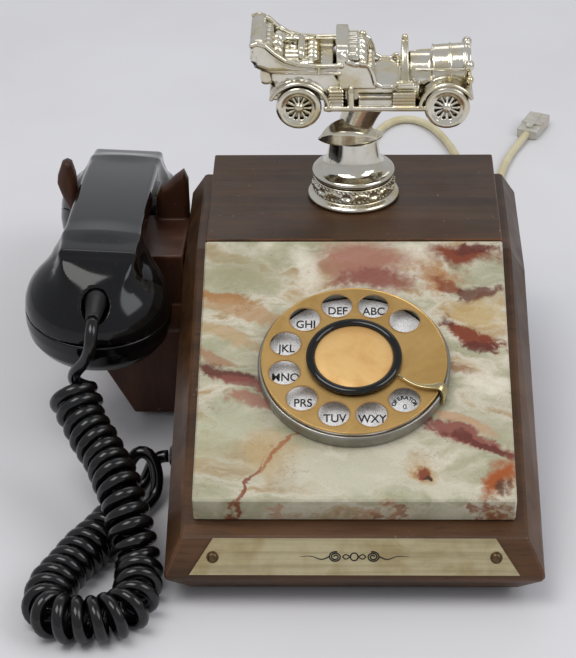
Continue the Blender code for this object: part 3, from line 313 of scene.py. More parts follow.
def clear_plug_look():
    look = Look("plug_clear_look", Transmission_Weight=0.6, IOR=1.45)
    haze = look.noise(300, 3, 0.6)
    base = look.mix(look.span(haze, 0.35, 0.7), "f6f5ee", "e9e6d6")
    look.bump(haze, 0.00003, 0.3)
    return look.finish(Base_Color=base, Roughness=look.span(haze, 0.3, 0.7, 0.08, 0.2))


RUST, UMBER = "7a3416", "38200f"
# clouds and veins of the slab: middle x and y, half length, half depth, angle, colour, share, ragged
STONE_PATCHES = [
    (-44, 119, 19, 13, 0, "98926f", 0.65, 0.4), (-20, 121, 6, 14, 10, "dfd8c6", 0.8, 0.4),
    (24, 128, 9, 7, -10, "dfd8c6", 0.75, 0.4), (4, 123, 22, 12, -6, "a06a59", 0.9, 0.35),
    (8, 113, 20, 6, -8, "86483d", 0.9, 0.45), (-14, 103, 18, 5, -24, "b9a37c", 0.7, 0.5),
    (-54, 107, 13, 3.2, -26, "a06a30", 0.85, 0.6), (-44, 98, 22, 4.5, -24, "b08a60", 0.75, 0.6),
    (-52, 84, 18, 4.0, -24, "b39468", 0.7, 0.6), (46, 129, 19, 7, 2, "7a3416", 1.0, 0.45),
    (52, 132, 10, 3, 4, "5a2015", 0.9, 0.6), (37, 116, 15, 7, -14, "a5713f", 0.8, 0.7),
    (42, 112, 8, 3.5, -30, "7a3416", 0.8, 0.8), (55, 107, 9, 3.5, -6, "5a2015", 0.85, 0.8),
    (52, 97, 16, 7, -10, "b8995c", 0.75, 0.5), (49, 85, 14, 4.6, -24, "7a3416", 1.0, 0.8),
    (54, 80, 6, 3.2, 10, "5a2015", 0.9, 1.0), (39, 92, 3.5, 5.5, 10, "5a2015", 0.8, 0.9),
    (47, 66, 20, 2.2, -28, "8f6a48", 0.7, 0.7), (56, 60, 12, 7, -10, "dfd8c6", 0.8, 0.5),
    (-52, 63, 17, 3.6, -27, "5a2015", 0.95, 0.5), (-46, 57, 13, 3.0, -27, "86483d", 0.85, 0.7),
    (-58, 72, 12, 2.5, -24, "9a6848", 0.7, 0.7), (-43, 47, 11, 3.6, -24, "a06a59", 0.85, 0.7),
    (-54, 34, 15, 12, 30, "b3b598", 0.7, 0.4), (-32, 22, 11, 14, 50, "b9a074", 0.75, 0.4),
    (-41, 9, 13, 0.9, 62, "7a3416", 0.9, 0.35), (-30, 23, 13, 0.9, 48, "9a5a30", 0.8, 0.35),
    (-2, 14, 34, 12, 4, "c9c5b1", 0.75, 0.3), (36, 6, 20, 6, -6, "cbc6b2", 0.75, 0.3),
    (25.5, 15, 5.5, 7, 10, "b1843f", 0.7, 0.6), (25.5, 15, 2.8, 4.4, 10, "7a3416", 0.95, 0.6),
    (26.5, 13, 1.4, 2.4, 10, "38200f", 0.95, 0.5), (18, 43, 10, 4, -20, "a06a59", 0.75, 0.7),
    (42, 31, 25, 4.2, -26, "86483d", 0.95, 0.6), (50, 26, 16, 2.2, -26, "5a2015", 0.85, 0.8),
    (40, 39, 18, 2.4, -26, "b98c68", 0.7, 0.6), (58, 9, 6.5, 12, -14, "9c4e18", 1.0, 0.5),
    (60, 5, 3, 5, -14, "38200f", 0.8, 0.8), (-48, -1, 3.5, 2.2, 0, "7a3416", 0.85, 0.8),
    (30, -3, 34, 1.8, 1, "7a3416", 0.7, 1.0), (-20, -2, 40, 1.4, 1, "a87c5c", 0.6, 1.0),
]


def onyx_look():
    """Polished banded stone: pale green and cream, with pink clouds, rust veins and dark specks.
    Patches are set in the slab's own plane, in millimetres from the middle of its front edge."""
    look = Look("onyx_look", Specular_IOR_Level=0.5, Coat_Weight=0.25, Coat_Roughness=0.06)
    flat = SLAB_AT.inverted() @ Vector((0, 0, 0))
    spot = look.moved((1, 1, 1), (-SLOPE, 0, 0), tuple(flat))
    spot = look.scaled(spot, 1000.0)
    swirl = look.vector("SUBTRACT", look.noise(0.03, 2, 0.5, 0.4, spot, "Color"), (0.5, 0.5, 0.5))
    swirl = look.scaled(swirl, 20.0)
    ripple = look.vector("SUBTRACT", look.noise(0.16, 5, 0.6, 0.3, spot, "Color"), (0.5, 0.5, 0.5))
    ripple = look.scaled(ripple, 6.5)
    bent = look.vector("ADD", look.vector("ADD", spot, swirl), ripple)
    fine = look.noise(0.30, 5, 0.62, 0.5, spot)
    dust = look.noise(1.1, 4, 0.6, 0.0, spot)

    bands = look.noise(0.034, 4, 0.5, 0.6, look.moved((0.7, 1.7, 1.0), (0, 0, 22), source=bent))
    base = look.ramp(bands, [(0.30, "c6bfa9"), (0.40, "a2a184"), (0.48, "b9b39a"),
                             (0.54, "cfc8b5"), (0.60, "b39c78"), (0.68, "957a57"),
                             (0.76, "cdc6b0")])
    lines = look.noise(0.10, 4, 0.6, 1.0, look.moved((0.6, 2.8, 1.0), (0, 0, 24), source=bent))
    base = look.mix(look.span(lines, 0.50, 0.72, 0.0, 0.45), base, "d6cfbc")
    seam = look.math("ABSOLUTE", look.math("SUBTRACT", lines, 0.43))
    base = look.mix(look.span(seam, 0.014, 0.0, 0.0, 0.35), base, "93794f")
    shade = look.noise(0.02, 2, 0.5, 0.0, spot)
    base = look.mix(look.span(shade, 0.4, 0.65, 0.0, 0.35), base, "98977c")

    def turned_about(x, y, angle):
        return look.add("VectorRotate", {"Vector": look.vector("SUBTRACT", bent, (x, y, 0)),
                                         "Angle": math.radians(-angle)}, rotation_type="Z_AXIS")

    def patch(x, y, reach, depth, angle, colour, share, ragged):
        """Cloud or vein: reach and depth are its half sizes, ragged breaks up its outline."""
        nonlocal base
        local = look.moved((1 / reach, 1 / depth, 0.02), source=turned_about(x, y, angle))
        away = look.vector("LENGTH", local, out="Value")
        rim = look.math("ADD", away, look.product(look.math("SUBTRACT", fine, 0.5), ragged * 2.4))
        mask = look.span(rim, 1.22, 0.35 if depth >= 5 else 0.62, 0.0, share)
        base = look.mix(mask, base, colour)

    for x, y, reach, depth, angle, colour, share, ragged in STONE_PATCHES:
        patch(x, y, reach, depth, angle, colour, share, ragged)

    veins = look.noise(0.07, 4, 0.6, 1.2, look.moved((0.8, 1.8, 1), (0, 0, 24), source=bent))
    thin = look.span(look.math("ABSOLUTE", look.math("SUBTRACT", veins, 0.5)), 0.006, 0.0)
    where = look.span(look.noise(0.035, 3, 0.5, 0.2, spot), 0.50, 0.62)
    base = look.mix(look.product(look.product(thin, where), 0.7), base, RUST)
    flecks = look.span(look.noise(0.7, 3, 0.6, 0.0, spot), 0.67, 0.73)
    near = look.span(look.noise(0.06, 3, 0.5, 0.0, look.moved(location=(40, 0, 0), source=spot)), 0.5, 0.65)
    base = look.mix(look.product(look.product(flecks, near), 0.8), base, UMBER)
    base = look.mix(look.span(dust, 0.4, 0.7, 0.0, 0.10), base, "7d7058")
    look.bump(fine, 0.00002, 0.25)
    rough = look.span(look.plus(fine, flecks, 0.4), 0.3, 1.0, 0.10, 0.26)
    return look.finish(Base_Color=base, Roughness=rough)


onyx = onyx_look()
hardboard = hardboard_look()
dial_white = speckled_white_look()
ink = ink_look()
clear_plug = clear_plug_look()

SLOT_LOOKS = {
    "walnut": wood, "onyx": onyx, "plate_brass": plate_brass, "plated_steel": steel, "hardboard": hardboard,
    "foot_rubber": foot_rubber, "dial_silver": dial_silver, "dial_white": dial_white, "dial_gold": gold,
    "gear_brass": gear_brass, "ring_black": black_ring, "bakelite": bakelite, "figure_silver": silver,
    "handset_black": black_handset, "cord_black": cord_black, "cord_cream": cord_cream,
    "plug_clear": clear_plug,
}


def dress_cad_nodes():
    for part in frame["record"]["subparts"]:
        mesh = NODES[part["node"]].data
        mesh.materials.clear()
        mesh.materials.append(SLOT_LOOKS[part["material_slot"]])


dress_cad_nodes()


# ---------------------------------------------------------------------- mesh helpers
def mesh_of(name, verts, faces):
    mesh = bpy.data.meshes.new(name)
    mesh.from_pydata([tuple(v) for v in verts], [], [tuple(f) for f in faces])
    mesh.update()
    return mesh


def piece(name, source, look, body, at=PHONE_AT, replaces=(), sharp=35):
    """Make one piece from a bmesh or a mesh in millimetres, place it and let it ride on its body."""
    if isinstance(source, bmesh.types.BMesh):
        bmesh.ops.recalc_face_normals(source, faces=source.faces)
        mesh = bpy.data.meshes.new(name)
        source.to_mesh(mesh)
        source.free()
    else:
        mesh = source
        mesh.name = name
    mesh.transform(Matrix.Scale(MM, 4))
    mesh.shade_smooth()
    if sharp:
        mesh.set_sharp_from_angle(angle=math.radians(sharp))
    mesh.materials.clear()
    mesh.materials.append(look)
    made = bpy.data.objects.new(name, mesh)
    bpy.context.scene.collection.objects.link(made)
    made.matrix_world = at
    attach(made, body)
    if replaces:
        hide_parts(*replaces)
    return made


def add_turned(bm, profile, steps=96, at=Matrix()):
    """Turn a profile of (radius, height) about Z."""
    rings = []
    for radius, height in profile:
        if radius < 1e-6:
            rings.append([bm.verts.new(at @ Vector((0, 0, height)))])
        else:
            rings.append([bm.verts.new(at @ Vector((radius * math.cos(a), radius * math.sin(a), height)))
                          for a in (2 * math.pi * i / steps for i in range(steps))])
    pairs = list(zip(rings, rings[1:]))
    if len(rings[0]) > 1:
        pairs.append((rings[-1], rings[0]))
    for first, second in pairs:
        for i in range(steps):
            j = (i + 1) % steps
            corners = [first[i % len(first)], first[j % len(first)], second[j % len(second)],
                       second[i % len(second)]]
            bm.faces.new(list(dict.fromkeys(corners)))
    return bm


def turned(profile, steps=96):
    return add_turned(bmesh.new(), profile, steps)


def oval(centre, radii, steps):
    """Points round an ellipse, as pairs."""
    return [(centre[0] + radii[0] * math.cos(a), centre[1] + radii[1] * math.sin(a)) for a in
            (2 * math.pi * i / steps for i in range(steps))]


def bridge(bm, loops):
    """Faces between each loop of vertices and the next."""
    for first, second in zip(loops, loops[1:]):
        for i in range(len(first)):
            j = (i + 1) % len(first)
            bm.faces.new((first[i], first[j], second[j], second[i]))


def rounded(profile, radius, steps):
    """Round the corners of an open profile."""
    made = [profile[0]]
    for before, here, after in zip(profile, profile[1:], profile[2:]):
        before, here, after = (Vector(p) for p in (before, here, after))
        first, second = before - here, after - here
        cut = min(radius, first.length * 0.45, second.length * 0.45)
        a, b = here + first.normalized() * cut, here + second.normalized() * cut
        for i in range(steps + 1):
            t = i / steps
            made.append(tuple(a * (1 - t) ** 2 + here * 2 * t * (1 - t) + b * t ** 2))
    return made + [profile[-1]]


def add_box(bm, low, high):
    corners = [bm.verts.new((x, y, z)) for x in (low[0], high[0]) for y in (low[1], high[1])
               for z in (low[2], high[2])]
    for face in ((0, 1, 3, 2), (4, 6, 7, 5), (0, 4, 5, 1), (2, 3, 7, 6), (0, 2, 6, 4), (1, 5, 7, 3)):
        bm.faces.new([corners[i] for i in face])


def smooth_edges(made, width):
    step = made.modifiers.new("soft_edges", "BEVEL")
    step.width = width
    step.segments = 2
    step.limit_method = "ANGLE"
    step.angle_limit = math.radians(30)


def run_along(path):
    """How far along the path each of its points lies."""
    return np.concatenate([[0], np.cumsum(np.linalg.norm(np.diff(path, axis=0), axis=1))])


def resampled(path, spacing):
    """The same path with its points evenly spaced."""
    run = run_along(path)
    goals = np.linspace(0, run[-1], max(2, round(run[-1] / spacing)) + 1)
    return np.stack([np.interp(goals, run, path[:, i]) for i in range(3)], 1)


def softened(rows):
    """The inner rows, each averaged with its two neighbours."""
    return 0.25 * rows[:-2] + 0.5 * rows[1:-1] + 0.25 * rows[2:]


def smooth_route(points, spacing):
    """Even points along a smooth curve through given points, as an array."""
    points = [Vector(p) for p in points]
    padded = [2 * points[0] - points[1]] + points + [2 * points[-1] - points[-2]]
    dense = []
    for a, b, c, d in zip(padded, padded[1:], padded[2:], padded[3:]):
        for step in range(24):
            t = step / 24
            dense.append(0.5 * ((2 * b) + (c - a) * t + (2 * a - 5 * b + 4 * c - d) * t ** 2
                                + (3 * b - a - 3 * c + d) * t ** 3))
    return resampled(np.array([*dense, points[-1]], float), spacing)


def frames_along(path):
    """Two directions across the path at each point, carried along without twist."""
    ahead = np.gradient(path, axis=0)
    ahead /= np.linalg.norm(ahead, axis=1)[:, None]
    side = np.cross(ahead[0], (0.0, 0.0, 1.0))
    if np.linalg.norm(side) < 0.1:
        side = np.array((1.0, 0.0, 0.0))
    sides = []
    for direction in ahead:
        side = side - direction * (side @ direction)
        side = side / np.linalg.norm(side)
        sides.append(side)
    sides = np.array(sides)
    return sides, np.cross(ahead, sides)


def add_tube(verts, faces, path, radius, sides=12):
    """A swept tube with closed ends. radius is one number or one for each point."""
    across, over = frames_along(path)
    radius = np.broadcast_to(np.asarray(radius, float), (len(path),))
    start = len(verts)
    for spot, a, b, r in zip(path, across, over, radius):
        for i in range(sides):
            angle = 2 * math.pi * i / sides
            verts.append(spot + r * (math.cos(angle) * a + math.sin(angle) * b))
    for ring in range(len(path) - 1):
        for i in range(sides):
            j = (i + 1) % sides
            low, high = start + ring * sides, start + (ring + 1) * sides
            faces.append((low + i, low + j, high + j, high + i))
    faces.append(tuple(start + i for i in reversed(range(sides))))
    faces.append(tuple(start + (len(path) - 1) * sides + i for i in range(sides)))


# ----------------------------------------------------------------------------- cords
CURLY_WIRE = 0.0054
CURLY_LINE = 0.0076              # radius of the wire's middle line round the coil's axis
HANGING_COIL = [(-0.1170, 0.0730, 0.0530), (-0.1168, 0.0724, 0.0478), (-0.1120, 0.0615, 0.0405),
                (-0.1025, 0.0455, 0.0342), (-0.0950, 0.0290, 0.0290), (-0.0895, 0.0130, 0.0190),
                (-0.0860, 0.0020, 0.0103), (-0.0858, -0.0074, 0.0094)]
LYING_COIL = [(-0.0863, -0.0180, 0.0094), (-0.0900, -0.0253, 0.0098),
              (-0.0975, -0.0296, 0.0098), (-0.1065, -0.0306, 0.0098), (-0.1155, -0.0286, 0.0098),
              (-0.1208, -0.0215, 0.0094), (-0.1197, -0.0105, 0.0094), (-0.1154, 0.0010, 0.0094),
              (-0.1100, 0.0127, 0.0094), (-0.1045, 0.0230, 0.0094), (-0.0985, 0.0335, 0.0094),
              (-0.0925, 0.0430, 0.0094)]
HANDSET_TAIL = [(-0.1079, 0.0779, 0.0797), (-0.1079, 0.0748, 0.0792), (-0.1080, 0.0716, 0.0770),
                (-0.1084, 0.0700, 0.0728), (-0.1096, 0.0698, 0.0680), (-0.1118, 0.0706, 0.0634),
                (-0.1148, 0.0720, 0.0602), (-0.1168, 0.0729, 0.0578)]
BASE_TAIL = [(-0.0905, 0.0450, 0.0060), (-0.0868, 0.0500, 0.0032), (-0.0838, 0.0575, 0.0050),
             (-0.0830, 0.0634, 0.0130), (-0.0862, 0.0672, 0.0210), (-0.0920, 0.0672, 0.0212),
             (-0.0962, 0.0640, 0.0125), (-0.0945, 0.0628, 0.0045), (-0.0898, 0.0680, 0.0040),
             (-0.0862, 0.0728, 0.0110), (-0.0835, 0.0739, 0.0146), (-0.0812, 0.0740, 0.0150),
             (-0.0788, 0.0740, 0.0150)]
TURNS = 35
FIRST_ANGLE = 1.2                # where round the coil the first turn starts
CURLY_EASE = 0.0070              # length over which the wire leaves or meets the coil's axis
CURLY_STEP = 0.0018              # spacing of the points along the wire
LINE_DIAMETER = 0.0042
LINE_RUN = [(0.0300, 0.2220, 0.0200), (0.0300, 0.2275, 0.0193), (0.0298, 0.2360, 0.0120),
            (0.0285, 0.2450, 0.0048), (0.0250, 0.2560, 0.0023), (0.0195, 0.2680, 0.0023),
            (0.0145, 0.2800, 0.0023)]
COIL_CENTRE = (-0.020, 0.277)
COIL_RADII = (0.0294, 0.0210)
LINE_END = [(0.0104, 0.2958, 0.0140), (0.0080, 0.3080, 0.0075), (0.0058, 0.3210, 0.0025),
            (0.0040, 0.3350, 0.0023), (0.0034, 0.3500, 0.0023), (0.0048, 0.3700, 0.0023),
            (0.0085, 0.3920, 0.0023), (0.0170, 0.4160, 0.0023), (0.0300, 0.4270, 0.0023),
            (0.0430, 0.4170, 0.0023), (0.0530, 0.3930, 0.0023), (0.0585, 0.3660, 0.0023),
            (0.0630, 0.3440, 0.0023), (0.0700, 0.3350, 0.0023), (0.0765, 0.3430, 0.0023),
            (0.0795, 0.3610, 0.0023), (0.0860, 0.3830, 0.0023), (0.0955, 0.4040, 0.0030)]


def curly_path():
    """The wire's middle line: tail, coil round its own axis, tail."""
    axis = smooth_route(HANGING_COIL + LYING_COIL, 0.0004)
    across, over = frames_along(axis)
    run = run_along(axis)
    share = run / run[-1]
    # turns lie a little wider apart where the coil comes round on the table
    pace = 1.0 - 0.30 * np.exp(-((share - 0.47) / 0.05) ** 2)
    turns = np.concatenate([[0], np.cumsum((pace[1:] + pace[:-1]) / 2 * np.diff(share))])
    angle = 2 * math.pi * TURNS * turns / turns[-1] + FIRST_ANGLE
    swell = np.clip(np.minimum(run, run[-1] - run) / CURLY_EASE, 0, 1)
    wide = CURLY_LINE * np.sin(swell * math.pi / 2) * (1 + 0.03 * np.sin(share * 61))
    wide *= 1 + 0.16 * np.exp(-((share - 0.035) / 0.035) ** 2)
    coil = axis + wide[:, None] * (np.cos(angle)[:, None] * across + np.sin(angle)[:, None] * over)
    lowest = CURLY_WIRE / 2 + 0.0001
    coil[:, 2] = np.maximum(coil[:, 2], lowest)
    first, last = smooth_route(HANDSET_TAIL, 0.0012)[:-3], smooth_route(BASE_TAIL, 0.0012)[3:]
    whole = np.concatenate([first, coil[6:-6], last])
    run = run_along(whole)
    even = resampled(whole, CURLY_STEP)
    goals = np.linspace(0, run[-1], len(even))
    # the two joins are eased over a wider stretch than the rest
    spots = run[len(first)], run[len(whole) - len(last)]
    ease = sum(np.exp(-((goals - spot) / 0.009) ** 2) for spot in spots)[1:-1, None].clip(0, 1)
    for step in range(60):
        even[1:-1] += (softened(even) - even[1:-1]) * (1 if step < 3 else ease)
    even[:, 2] = np.maximum(even[:, 2], lowest)
    return resampled(even, CURLY_STEP) + np.array(PHONE)


def make_handset_cord():
    path = curly_path()
    verts, faces = [], []
    add_tube(verts, faces, path, CURLY_WIRE / 2, 14)
    mesh = mesh_of("curly_cord", verts, faces)
    mesh.shade_smooth()
    mesh.materials.append(cord_black)
    cord = bpy.data.objects.new("curly_cord", mesh)
    bpy.context.scene.collection.objects.link(cord)
    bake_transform(cord)
    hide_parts("handset_cord_tail", "handset_cord_hanging", "handset_cord_lying",
                "handset_cord_base_tail")


def line_path():
    """Out of the base, round the store coil in four layers, and on to the plug."""
    last = LINE_RUN[-1]
    start = math.atan2(last[1] - COIL_CENTRE[1], last[0] - COIL_CENTRE[0]) + 0.25
    layers, per_layer, winding, entry, points_per_turn = 4, 2.513, 2.0, 0.25, 40
    outer, inner = COIL_RADII
    coil = []
    for i in range(int(layers * per_layer * points_per_turn) + 1):
        t = i / points_per_turn
        level = min(layers - 1, int(t / per_layer))
        part = t - level * per_layer
        share = min(1.0, part / winding)
        radius = outer + (inner - outer) * (share if level % 2 == 0 else 1 - share)
        climb = min(1.0, max(0.0, (part - winding) / (per_layer - winding))) if level < layers - 1 else 0.0
        height = 0.0033 + LINE_DIAMETER * (level + climb)
        if t < entry:
            radius += 0.0045 * (1 - t / entry)
            height -= 0.0010 * (1 - t / entry)
        angle = start + 2 * math.pi * t
        coil.append((COIL_CENTRE[0] + radius * math.cos(angle), COIL_CENTRE[1] + radius * math.sin(angle),
                     height))
    whole = np.concatenate([smooth_route(LINE_RUN, 0.003), coil, smooth_route(LINE_END, 0.003)])
    even = resampled(whole, 0.0035)
    for _ in range(6):
        even[1:-1] = softened(even)
    return even + np.array(PHONE)


before_plug, plug_end = LINE_END[-2:]
PLUG_YAW = math.atan2(plug_end[1] - before_plug[1], plug_end[0] - before_plug[0]) - math.pi / 2
PLUG_AT = PHONE_AT @ Matrix.Translation((*plug_end[:2], 0)) @ Matrix.Rotation(PLUG_YAW, 4, "Z")
WIRES_X = (-1.9, -0.65, 0.65, 1.9)


def make_plug():
    """Clear modular plug with its latch, contacts and the flat inner wires."""
    bm = bmesh.new()
    add_box(bm, (-5.8, 0.6, 0.4), (5.8, 8.0, 5.4))
    add_box(bm, (-5.8, 8.0, 0.4), (5.8, 21.8, 6.6))
    body = piece("plug_shell", bm, clear_plug, "base", PLUG_AT, ["line_plug"])
    smooth_edges(body, 0.0004)
    bm = bmesh.new()
    outline = [(21.4, 6.55), (21.4, 6.75), (10.0, 6.78), (3.2, 6.75), (3.2, 6.25), (10.0, 6.2), (20.4, 5.9)]
    rings = [[bm.verts.new((x, y, z)) for y, z in outline] for x in (-1.7, 1.7)]
    bm.faces.new(rings[0])
    bm.faces.new(list(reversed(rings[1])))
    bridge(bm, rings)
    latch = piece("plug_latch", bm, clear_plug, "base", PLUG_AT)
    bm = bmesh.new()
    for x in WIRES_X:
        add_box(bm, (x - 0.22, 14.5, 2.6), (x + 0.22, 21.6, 5.2))
        add_box(bm, (x - 0.22, 17.0, 0.5), (x + 0.22, 21.9, 2.6))
    contacts = piece("plug_contacts", bm, gold_rim, "base", PLUG_AT)
    verts, faces = [], []
    for x in WIRES_X:
        path = smooth_route([(x * 0.3, 1.0, 3.0), (x * 0.8, 5.0, 3.0), (x, 9.0, 2.8), (x, 15.0, 2.6)], 1.0)
        add_tube(verts, faces, path, 0.5, 8)
    wires = piece("plug_wires", mesh_of("plug_wires", verts, faces), cord_cream, "base", PLUG_AT)
    return [body, latch, contacts, wires]


def make_strap():
    """Flat loop that ties the stored coil."""
    bm = bmesh.new()
    strap = rounded([(0, 0.15), (-7.5, 0.15), (-7.5, 19.2), (7.5, 19.2), (7.5, 0.15), (0, 0.15)], 1.6, 4)[:-1]
    inner = [(a * 0.93, 0.15 + (b - 0.15) * 0.96 + 0.35) for a, b in strap]
    loops = [[bm.verts.new((a, y, b)) for a, b in ring] for ring, y in
             ((strap, -2.2), (strap, 2.2), (inner, 2.2), (inner, -2.2))]
    bridge(bm, loops + loops[:1])
    tie_at = PHONE_AT @ Matrix.Translation((COIL_CENTRE[0] - 0.0253, COIL_CENTRE[1], 0))
    return piece("cord_strap", bm, cord_black, "base", tie_at, ["cord_tie"])


def make_line_cord():
    path = line_path()
    curve = bpy.data.curves.new("line_cord", "CURVE")
    curve.dimensions = "3D"
    curve.bevel_depth = LINE_DIAMETER / 2
    curve.bevel_resolution = 3
    curve.use_fill_caps = True
    spline = curve.splines.new("POLY")
    spline.points.add(len(path) - 1)
    for point, spot in zip(spline.points, path):
        point.co = (*spot, 1.0)
    curve.materials.append(cord_cream)
    cord = bpy.data.objects.new("line_cord", curve)
    bpy.context.scene.collection.objects.link(cord)
    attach(cord, "base")
    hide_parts("line_cord_run", "line_cord_coil", "line_cord_end")
    tie = make_strap()
    plug = make_plug()


make_handset_cord()
make_line_cord()


# ----------------------------------------------------- shapes from distance functions
def smin(a, b, k):
    """Union of two distance fields with a fillet of about k."""
    h = np.clip(0.5 + 0.5 * (b - a) / k, 0, 1)
    return b + (a - b) * h - k * h * (1 - h)


def smax(a, b, k):
    """What two distance fields share, its edge rounded by about k."""
    return -smin(-a, -b, k)


def union(k, *fields):
    whole = fields[0]
    for field in fields[1:]:
        whole = smin(whole, field, k)
    return whole


def minus(a, b, k=0.3):
    return -smin(-a, b, k)


def block(x, y, z, low, high, r=0.5):
    q = [np.abs(c - (l + h) / 2) - (h - l) / 2 + r for c, l, h in zip((x, y, z), low, high)]
    outside = np.sqrt(np.maximum(q[0], 0) ** 2 + np.maximum(q[1], 0) ** 2 + np.maximum(q[2], 0) ** 2)
    return outside + np.minimum(np.maximum(np.maximum(q[0], q[1]), q[2]), 0) - r


def polygon(a, b, points):
    """Distance to a closed outline in a plane, negative inside."""
    best, sign = None, 1.0
    for (ax, ay), (bx, by) in zip(points, points[1:] + points[:1]):
        ex, ey = bx - ax, by - ay
        wx, wy = a - ax, b - ay
        t = np.clip((wx * ex + wy * ey) / (ex * ex + ey * ey), 0, 1)
        gap = (wx - ex * t) ** 2 + (wy - ey * t) ** 2
        best = gap if best is None else np.minimum(best, gap)
        above, below, left = b >= ay, b < by, ex * wy > ey * wx
        sign = np.where((above & below & left) | (~above & ~below & ~left), -1.0, 1.0) * sign
    return sign * np.sqrt(best)


def extruded(flat, c, low, high, r=0.5):
    """A flat outline's distance drawn out from low to high, with edges rounded by r."""
    a, b = flat + r, np.abs(c - (low + high) / 2) - (high - low) / 2 + r
    return np.minimum(np.maximum(a, b), 0) + np.hypot(np.maximum(a, 0), np.maximum(b, 0)) - r


def cable(x, y, z, points, r):
    best = None
    for p, q in zip(points, points[1:]):
        e = [q[i] - p[i] for i in range(3)]
        w = [c - s for c, s in zip((x, y, z), p)]
        t = np.clip((w[0] * e[0] + w[1] * e[1] + w[2] * e[2]) / sum(v * v for v in e), 0, 1)
        gap = (w[0] - e[0] * t) ** 2 + (w[1] - e[1] * t) ** 2 + (w[2] - e[2] * t) ** 2
        best = gap if best is None else np.minimum(best, gap)
    return np.sqrt(best) - r


def ball(x, y, z, centre, radii):
    q = np.sqrt(sum(((c - s) / r) ** 2 for c, s, r in zip((x, y, z), centre, radii)))
    return (q - 1) * min(radii)


def crossed_cells(field, low, high, cell):
    """One point in each cell that the surface crosses, and the quads that join them."""
    counts = [int(math.ceil((h - l) / cell)) + 1 for l, h in zip(low, high)]
    axes = [l + cell * np.arange(n) for l, n in zip(low, counts)]
    grid = [axes[0][:, None, None], axes[1][None, :, None], axes[2][None, None, :]]
    values = np.broadcast_to(field(*grid), counts).astype(np.float32)
    cells = tuple(n - 1 for n in counts)
    total, hits = np.zeros((3, *cells), np.float32), np.zeros(cells, np.float32)
    crossings = []
    for axis in range(3):
        first = values[tuple(slice(0, -1) if i == axis else slice(None) for i in range(3))]
        second = values[tuple(slice(1, None) if i == axis else slice(None) for i in range(3))]
        crossed = (first < 0) != (second < 0)
        part = np.where(crossed, first / np.where(crossed, first - second, 1), 0)
        others = [i for i in range(3) if i != axis]
        index = np.indices(first.shape, np.float32)
        index[axis] += part
        for da in (0, 1):
            for db in (0, 1):
                cut = [slice(None)] * 3
                for other, d in zip(others, (da, db)):
                    cut[other] = slice(d, first.shape[other] - 1 + d)
                mask = crossed[tuple(cut)]
                hits += mask
                for i in range(3):
                    total[i] += np.where(mask, index[i][tuple(cut)], 0)
        crossings.append((crossed, first < 0, others))
    used = hits > 0
    number = np.full(cells, -1, np.int64)
    number[used] = np.arange(int(used.sum()))
    spots = [low[i] + cell * (total[i][used] / hits[used]) for i in range(3)]
    quads = []
    for axis, (crossed, inside, others) in enumerate(crossings):
        inner = [slice(None)] * 3
        for other in others:
            inner[other] = slice(1, -1)
        at = np.argwhere(crossed[tuple(inner)])
        facing = inside[tuple(inner)][tuple(at.T)]
        corner = []
        for da, db in ((0, 0), (1, 0), (1, 1), (0, 1)):
            where = at.copy()
            where[:, others[0]] += da
            where[:, others[1]] += db
            corner.append(number[tuple(where.T)])
        quad = np.stack(corner, 1)
        if axis == 1:
            facing = ~facing
        quad[~facing] = quad[~facing][:, ::-1]
        quads.append(quad)
    return np.array(spots, float), np.concatenate(quads)


def settled(field, spots, cell):
    """The points drawn onto the surface in three short steps along its slope."""
    step = cell * 0.15
    for _ in range(3):
        value = field(*spots)
        slope = []
        for i in range(3):
            ahead, back = spots.copy(), spots.copy()
            ahead[i] += step
            back[i] -= step
            slope.append((field(*ahead) - field(*back)) / (2 * step))
        slope = np.array(slope)
        move = value * slope / np.maximum((slope ** 2).sum(0), 0.25)
        size = np.sqrt((move ** 2).sum(0))
        spots -= move * np.minimum(1, 0.4 * cell / np.maximum(size, 1e-9))
    return spots


def skin(name, field, low, high, cell):
    """A closed mesh of field(x, y, z) < 0."""
    spots, quads = crossed_cells(field, low, high, cell)
    spots = settled(field, spots, cell)
    mesh = bpy.data.meshes.new(name)
    mesh.vertices.add(spots.shape[1])
    mesh.vertices.foreach_set("co", spots.T.astype(np.float32).ravel())
    mesh.loops.add(quads.size)
    mesh.loops.foreach_set("vertex_index", quads.astype(np.int32).ravel())
    mesh.polygons.add(len(quads))
    mesh.polygons.foreach_set("loop_start", np.arange(0, quads.size, 4, dtype=np.int32))
    mesh.update(calc_edges=True)
    mesh.validate()
    return mesh


# --------------------------------------------------------------------------- handset
BELL = [(0, -3), (31.5, -3), (31.5, 0), (31.1, 4.8), (29.2, 9.8), (25.1, 15.0), (19.3, 19.8), (13.0, 23.2),
        (6.0, 24.1), (0, 24.2)]
HANDSET_CENTRES = 141.6


def in_frame(x, y, z, matrix):
    """Points in millimetres of the handset's frame, given in another frame inside it."""
    back = matrix.inverted()
    shift = back.translation / MM
    return [back[i][0] * x + back[i][1] * y + back[i][2] * z + shift[i] for i in range(3)]


def bell_profile():
    spots = smooth_route([(r, h, 0) for r, h in BELL[2:]], 0.9)
    right = [(float(p[0]), float(p[1])) for p in spots]
    return [(0.0, -3.0), (31.5, -3.0)] + right


BELL_SHAPE = bell_profile()


